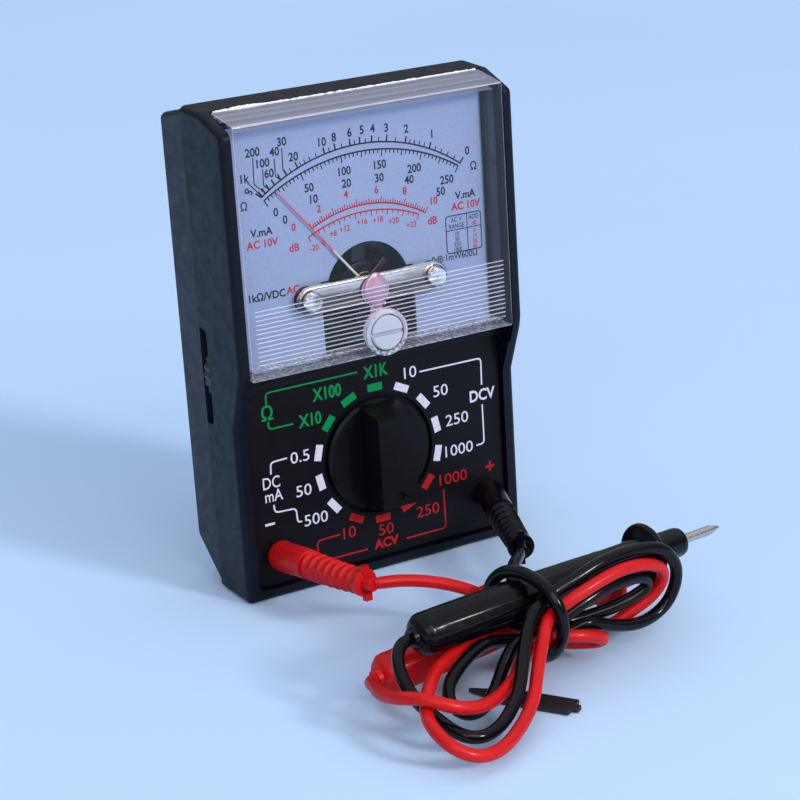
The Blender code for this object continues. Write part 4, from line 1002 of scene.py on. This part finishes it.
def add_flange_tabs(work, path):
    """Two small square lugs on the end flange, above and below."""
    centre = path[-6]
    ahead = (path[-1] - path[-12]).normalized()
    up = Vector((0, 0, 1))
    up = (up - ahead * up.dot(ahead)).normalized()
    turn = Matrix((ahead.cross(up), ahead, up)).transposed().to_4x4()
    size = Matrix.Diagonal((1.4 * MM, 1.3 * MM, FLANGE_WIDTH * MM, 1))
    for side in (-1, 1):
        place = Matrix.Translation((centre + up * side * FLANGE_RADIUS) * MM)
        bmesh.ops.create_cube(work, size=1.0, matrix=place @ turn @ size)


def points_of(node):
    """A node's points in millimetres."""
    return np.array([vertex.co for vertex in NODES[node].data.vertices]) / MM


def axis_of(node):
    """Middle and direction of a long thin node, from the spread of its points."""
    points = points_of(node)
    centre = (points.max(axis=0) + points.min(axis=0)) / 2
    direction = np.linalg.svd(points - points.mean(axis=0), full_matrices=False)[2][0]
    return Vector(centre), Vector(direction)


def reach_along(node, centre, direction):
    """Nearest and farthest of a node's points along a line."""
    spots = (points_of(node) - np.array(centre)) @ np.array(direction)
    return spots.min(), spots.max()


NOSE_LENGTH = 10.0


def probe_profile(length):
    """Handle: rounded rear with a step, long flats, finger guard and nose."""
    guard = length - NOSE_LENGTH
    rear = [(0, 1.7), (0.9, 1.9), (1.0, 2.5), (1.5, 3.2), (2.4, 3.85), (3.2, 4.0, 0.2)]
    grip = [(5.4, 4.0, 0.9), (5.5, 4.05, 1), (guard - 30, 4.05, 1), (guard - 16, 3.75, 1),
            (guard - 9, 3.5, 0.8), (guard - 3, 3.45, 0.1)]
    disc = [(guard - 0.6, 3.7), (guard - 0.2, 5.2), (guard, 5.75), (guard + 0.5, 6.0),
            (guard + 1.0, 6.0), (guard + 1.4, 5.7), (guard + 1.6, 3.3)]
    nose = [(guard + 1.8, 3.0), (guard + 8.8, 2.9), (guard + 9.6, 2.7), (length, 2.3)]
    return rear + grip + disc + nose


def probes():
    for colour, finish in (("red", "red_pvc"), ("black", "black_grip")):
        node = colour + "_probe_handle"
        centre, direction = axis_of(colour + "_probe_tip")
        if direction.x < 0:
            direction = -direction
        back, front = reach_along(node, centre, direction)
        back -= 1.0
        path = [centre + direction * back, centre + direction * front]
        work = sweep(path, probe_profile(front - back), sides=70, flats=14)
        stand_in(colour + "_handle", work, finish, "leads", node)


def wires():
    for colour in ("red", "black"):
        obj = quad_copy(colour + "_wire", 2, 0.08)
        obj.data.materials.clear()
        obj.data.materials.append(finishes[colour + "_pvc"])
        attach(obj, "leads")
        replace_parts(obj, colour + "_wire")


# The needle's bearing at rest, its length behind the pivot, and the length of its tube.
NEEDLE_BEARING = -40.0
NEEDLE_TAIL = 5.0
NEEDLE_TUBE = 12.0


def fine_pointer():
    """Slim needle: a pale tube from the hub and a thin blade beyond it, both along the CAD needle."""
    angle = math.radians(NEEDLE_BEARING)
    length = (high("pointer").z - PIVOT[1]) / math.cos(angle)
    heading = Vector((math.sin(angle), 0, math.cos(angle)))
    centre = Vector((PIVOT[0], middle("pointer").y, PIVOT[1]))
    path = [centre - heading * NEEDLE_TAIL, centre + heading * length]
    tube = NEEDLE_TAIL + NEEDLE_TUBE
    tip = NEEDLE_TAIL + length
    profile = [(0, 0.25), (0.2, 0.45), (1.8, 0.45), (2.0, 0.26), (tube, 0.26), (tube + 0.6, 0.15),
               (tip - 0.2, 0.12), (tip, 0.05)]
    work = sweep(path, profile, sides=12)
    bmesh.ops.create_cone(work, cap_ends=True, segments=28, radius1=1.7 * MM, radius2=1.5 * MM,
                          depth=0.5 * MM, matrix=Matrix.Translation(centre * MM) @ UPRIGHT)
    stand_in("needle", work, "needle", "movement", "pointer")


def bridge_trim():
    """Raised rim round the bridge and two small rivets on it."""
    centre = middle("bridge")
    face = low("bridge").y
    half = high("bridge").z - centre.z
    reach = high("bridge").x - half
    curve = bpy.data.curves.new("bridge_rim", "CURVE")
    curve.dimensions = "3D"
    curve.bevel_depth = 0.32 * MM
    curve.bevel_resolution = 4
    points = []
    for side, start in ((1, 0), (-1, 180)):
        points += [polar((side * reach, centre.z), half - 0.4, start + 12 * k) for k in range(16)]
    spline = curve.splines.new("POLY")
    spline.points.add(len(points) - 1)
    for point, (x, z) in zip(spline.points, points):
        point.co = (x * MM, (face + 0.05) * MM, z * MM, 1)
    spline.use_cyclic_u = True
    work = bmesh.new()
    work.from_mesh(drawn("bridge_rim", curve))
    for x in (-7.8, 7.2):
        place = Matrix.Translation(Vector((x, face, centre.z)) * MM)
        bmesh.ops.create_uvsphere(work, u_segments=16, v_segments=8, radius=0.55 * MM, matrix=place)
    new_piece("bridge_rim", work, "bridge", "case", "chrome")


def lacquer_drop():
    """Drop of pink lacquer over the pivot, on the zero lever: a flat ball, narrower at its ends."""
    half = Vector((2.75, 0.75, 3.6))
    work = bmesh.new()
    bmesh.ops.create_uvsphere(work, u_segments=32, v_segments=16, radius=MM)
    for vertex in work.verts:
        vertex.co.x *= half.x * (1 - 0.28 * (vertex.co.z / MM) ** 2)
        vertex.co.y *= half.y
        vertex.co.z *= half.z
    place = Vector((PIVOT[0], low("zero_lever").y - 0.2, PIVOT[1] + 0.2))
    bmesh.ops.translate(work, vec=place * MM, verts=work.verts)
    new_piece("lacquer_drop", work, "lever", "zero_lever", "zero_lever")


def glue_bead():
    """Ragged line of dried adhesive where the window's top meets the case."""
    corner = high("window_lens")
    start = low("window_lens").x + 0.5
    span = corner.x - 0.5 - start
    path, profile = [], []
    count = 150
    for index in range(count + 1):
        along = span * index / count
        x = start + along
        rough = noise.noise(Vector((x * 0.9, 3.0, 0.0))) + 0.6 * noise.noise(Vector((x * 2.7, 8.0, 0.0)))
        lump = 0.25 * math.exp(-((x + 23.0) / 3.5) ** 2)
        path.append((x, corner.y - 0.1 - 0.12 * rough, corner.z + 0.05))
        profile.append((along, max(0.08, 0.20 + 0.22 * rough + lump)))
    new_piece("glue_bead", sweep(path, profile, sides=10), "glue", "case", "clear_plastic")


# ---- build

finishes = {**plastics(), **metals(), **inks(), **paints()}

# The nodes that stay visible, by their finish and the width of their rounded edges.
CARRIED = {
    ("case", 0.0): "front_case",
    ("cover", 0.0): "rear_cover",
    ("panel", 0.15): "faceplate",
    ("clear", 0.0): "window_lens",
    ("dial", 0.0): "dial_plate",
    ("iron", 0.12): "movement_frame",
    ("iron", 0.15): "yoke_ring",
    ("magnet", 0.15): "core_magnet",
    ("copper", 0.0): "moving_coil",
    ("bridge", 0.0): "bridge",
    ("screw_head", 0.2): "bridge_screw_left bridge_screw_right",
    ("lever", 0.04): "zero_lever",
    ("zero_screw", 0.12): "zero_adjust_screw",
    ("knob", 0.3): "selector_knob",
    ("wheel", 0.08): "ohm_wheel",
    ("nylon", 0.15): "wiper_carrier",
    ("nylon", 0.1): "ohm_pot_base",
    ("board", 0.0): "circuit_board",
    ("resistor", 0.1): "resistor_1 resistor_2 resistor_3",
    ("diode", 0.1): "diode_1 diode_2",
    ("fuse", 0.1): "fuse",
    ("cell", 0.2): "battery_cell",
    ("brass", 0.0): "front_hairspring rear_hairspring",
    ("brass", 0.05): "wiper_contact",
    ("brass", 0.1): "front_jewel_screw rear_jewel_screw fuse_clip_left fuse_clip_right "
                    "battery_contact_positive jack_sleeve_negative jack_sleeve_positive",
    ("steel", 0.0): "detent_ball detent_spring battery_spring_negative",
    ("steel", 0.15): "knob_screw",
    ("steel", 0.12): "movement_screw_left movement_screw_right board_screw_left board_screw_right "
                     "rear_screw_1 rear_screw_2 rear_screw_3 rear_screw_4",
    ("chrome", 0.0): "red_plug_pin black_plug_pin",
    ("tip", 0.0): "red_probe_tip black_probe_tip",
    ("strap", 0.15): "tie_strap",
}
SLOTS = {part["node"]: part["material_slot"] for part in frame["record"]["subparts"]}

for (finish, edge), nodes in CARRIED.items():
    for node in nodes.split():
        dress(node, finishes[finish], edge)

panel_prints()
dial_prints()
flute_window()
boots()
jack_collars()
probes()
wires()
fine_pointer()
bridge_trim()
lacquer_drop()
glue_bead()


# ---- stage, light and camera

def floor():
    reach = 40.0
    mesh = bpy.data.meshes.new("floor")
    corners = [(-reach, -reach, 0), (reach, -reach, 0), (reach, reach, 0), (-reach, reach, 0)]
    mesh.from_pydata(corners, [], [range(4)])
    mesh.materials.append(finishes["floor"])
    obj = linked("floor", mesh)
    obj.location.z = -0.0001


def aim(obj, direction):
    """Turn a light or a camera to look along a direction."""
    obj.rotation_euler = Vector(direction).to_track_quat("-Z", "Y").to_euler()


def front_glow():
    """A weak warm lamp over the leads."""
    light = bpy.data.lights.new("front_glow", "AREA")
    light.shape = "DISK"
    light.size = 0.5
    light.energy = 2.0
    light.color = (1.0, 0.86, 0.72)
    obj = linked("front_glow", light)
    obj.location = (0.0, -0.75, 0.55)
    aim(obj, Vector((0.0, -0.25, 0.0)) - obj.location)


def sun_light(name, direction, strength, softness):
    """A distant light from a direction. softness is its width in degrees."""
    light = bpy.data.lights.new(name, "SUN")
    light.energy = strength
    light.angle = math.radians(softness)
    aim(linked(name, light), -Vector(direction))


def sky():
    """Pale studio room: bright overhead, dark towards the horizon."""
    world = bpy.data.worlds.new("studio")
    world.use_nodes = True
    tree = world.node_tree
    kinds = ("TexCoord", "SeparateXYZ", "ValToRGB")
    place, split, ramp = (tree.nodes.new("ShaderNode" + kind) for kind in kinds)
    elements = ramp.color_ramp.elements
    for position in (0.35, 0.6):
        elements.new(position)
    for element, level in zip(elements, (0.17, 0.28, 0.76, 0.91)):
        element.color = (0.86 * level, 0.92 * level, level, 1)
    tree.links.new(place.outputs["Generated"], split.inputs["Vector"])
    tree.links.new(split.outputs["Z"], ramp.inputs["Fac"])
    tree.links.new(ramp.outputs["Color"], tree.nodes["Background"].inputs["Color"])
    bpy.context.scene.world = world


# Where the camera stands and how it is turned, in metres and degrees.
CAMERA_PLACE = (-0.21565, -0.40828, 0.18258)
CAMERA_AZIMUTH = -29.14
CAMERA_ELEVATION = 17.98
CAMERA_ROLL = -3.61


def camera():
    azimuth, elevation, roll = map(math.radians, (CAMERA_AZIMUTH, CAMERA_ELEVATION, CAMERA_ROLL))
    back = Vector((math.sin(azimuth) * math.cos(elevation), -math.cos(azimuth) * math.cos(elevation),
                   math.sin(elevation)))
    data = bpy.data.cameras.new("camera")
    data.lens = 105.3
    data.sensor_width = 36.0
    data.clip_start = 0.01
    obj = linked("camera", data)
    obj.rotation_mode = "QUATERNION"
    obj.rotation_quaternion = (-back).to_track_quat("-Z", "Y") @ Quaternion((0, 0, 1), roll)
    obj.location = CAMERA_PLACE
    bpy.context.scene.camera = obj


floor()
sky()
sun_light("key", (0.350, -0.830, 0.435), 1.60, 10)
sun_light("fill", (-0.55, -0.70, 0.45), 0.45, 30)
front_glow()
camera()
bpy.context.scene.view_settings.view_transform = "Standard"
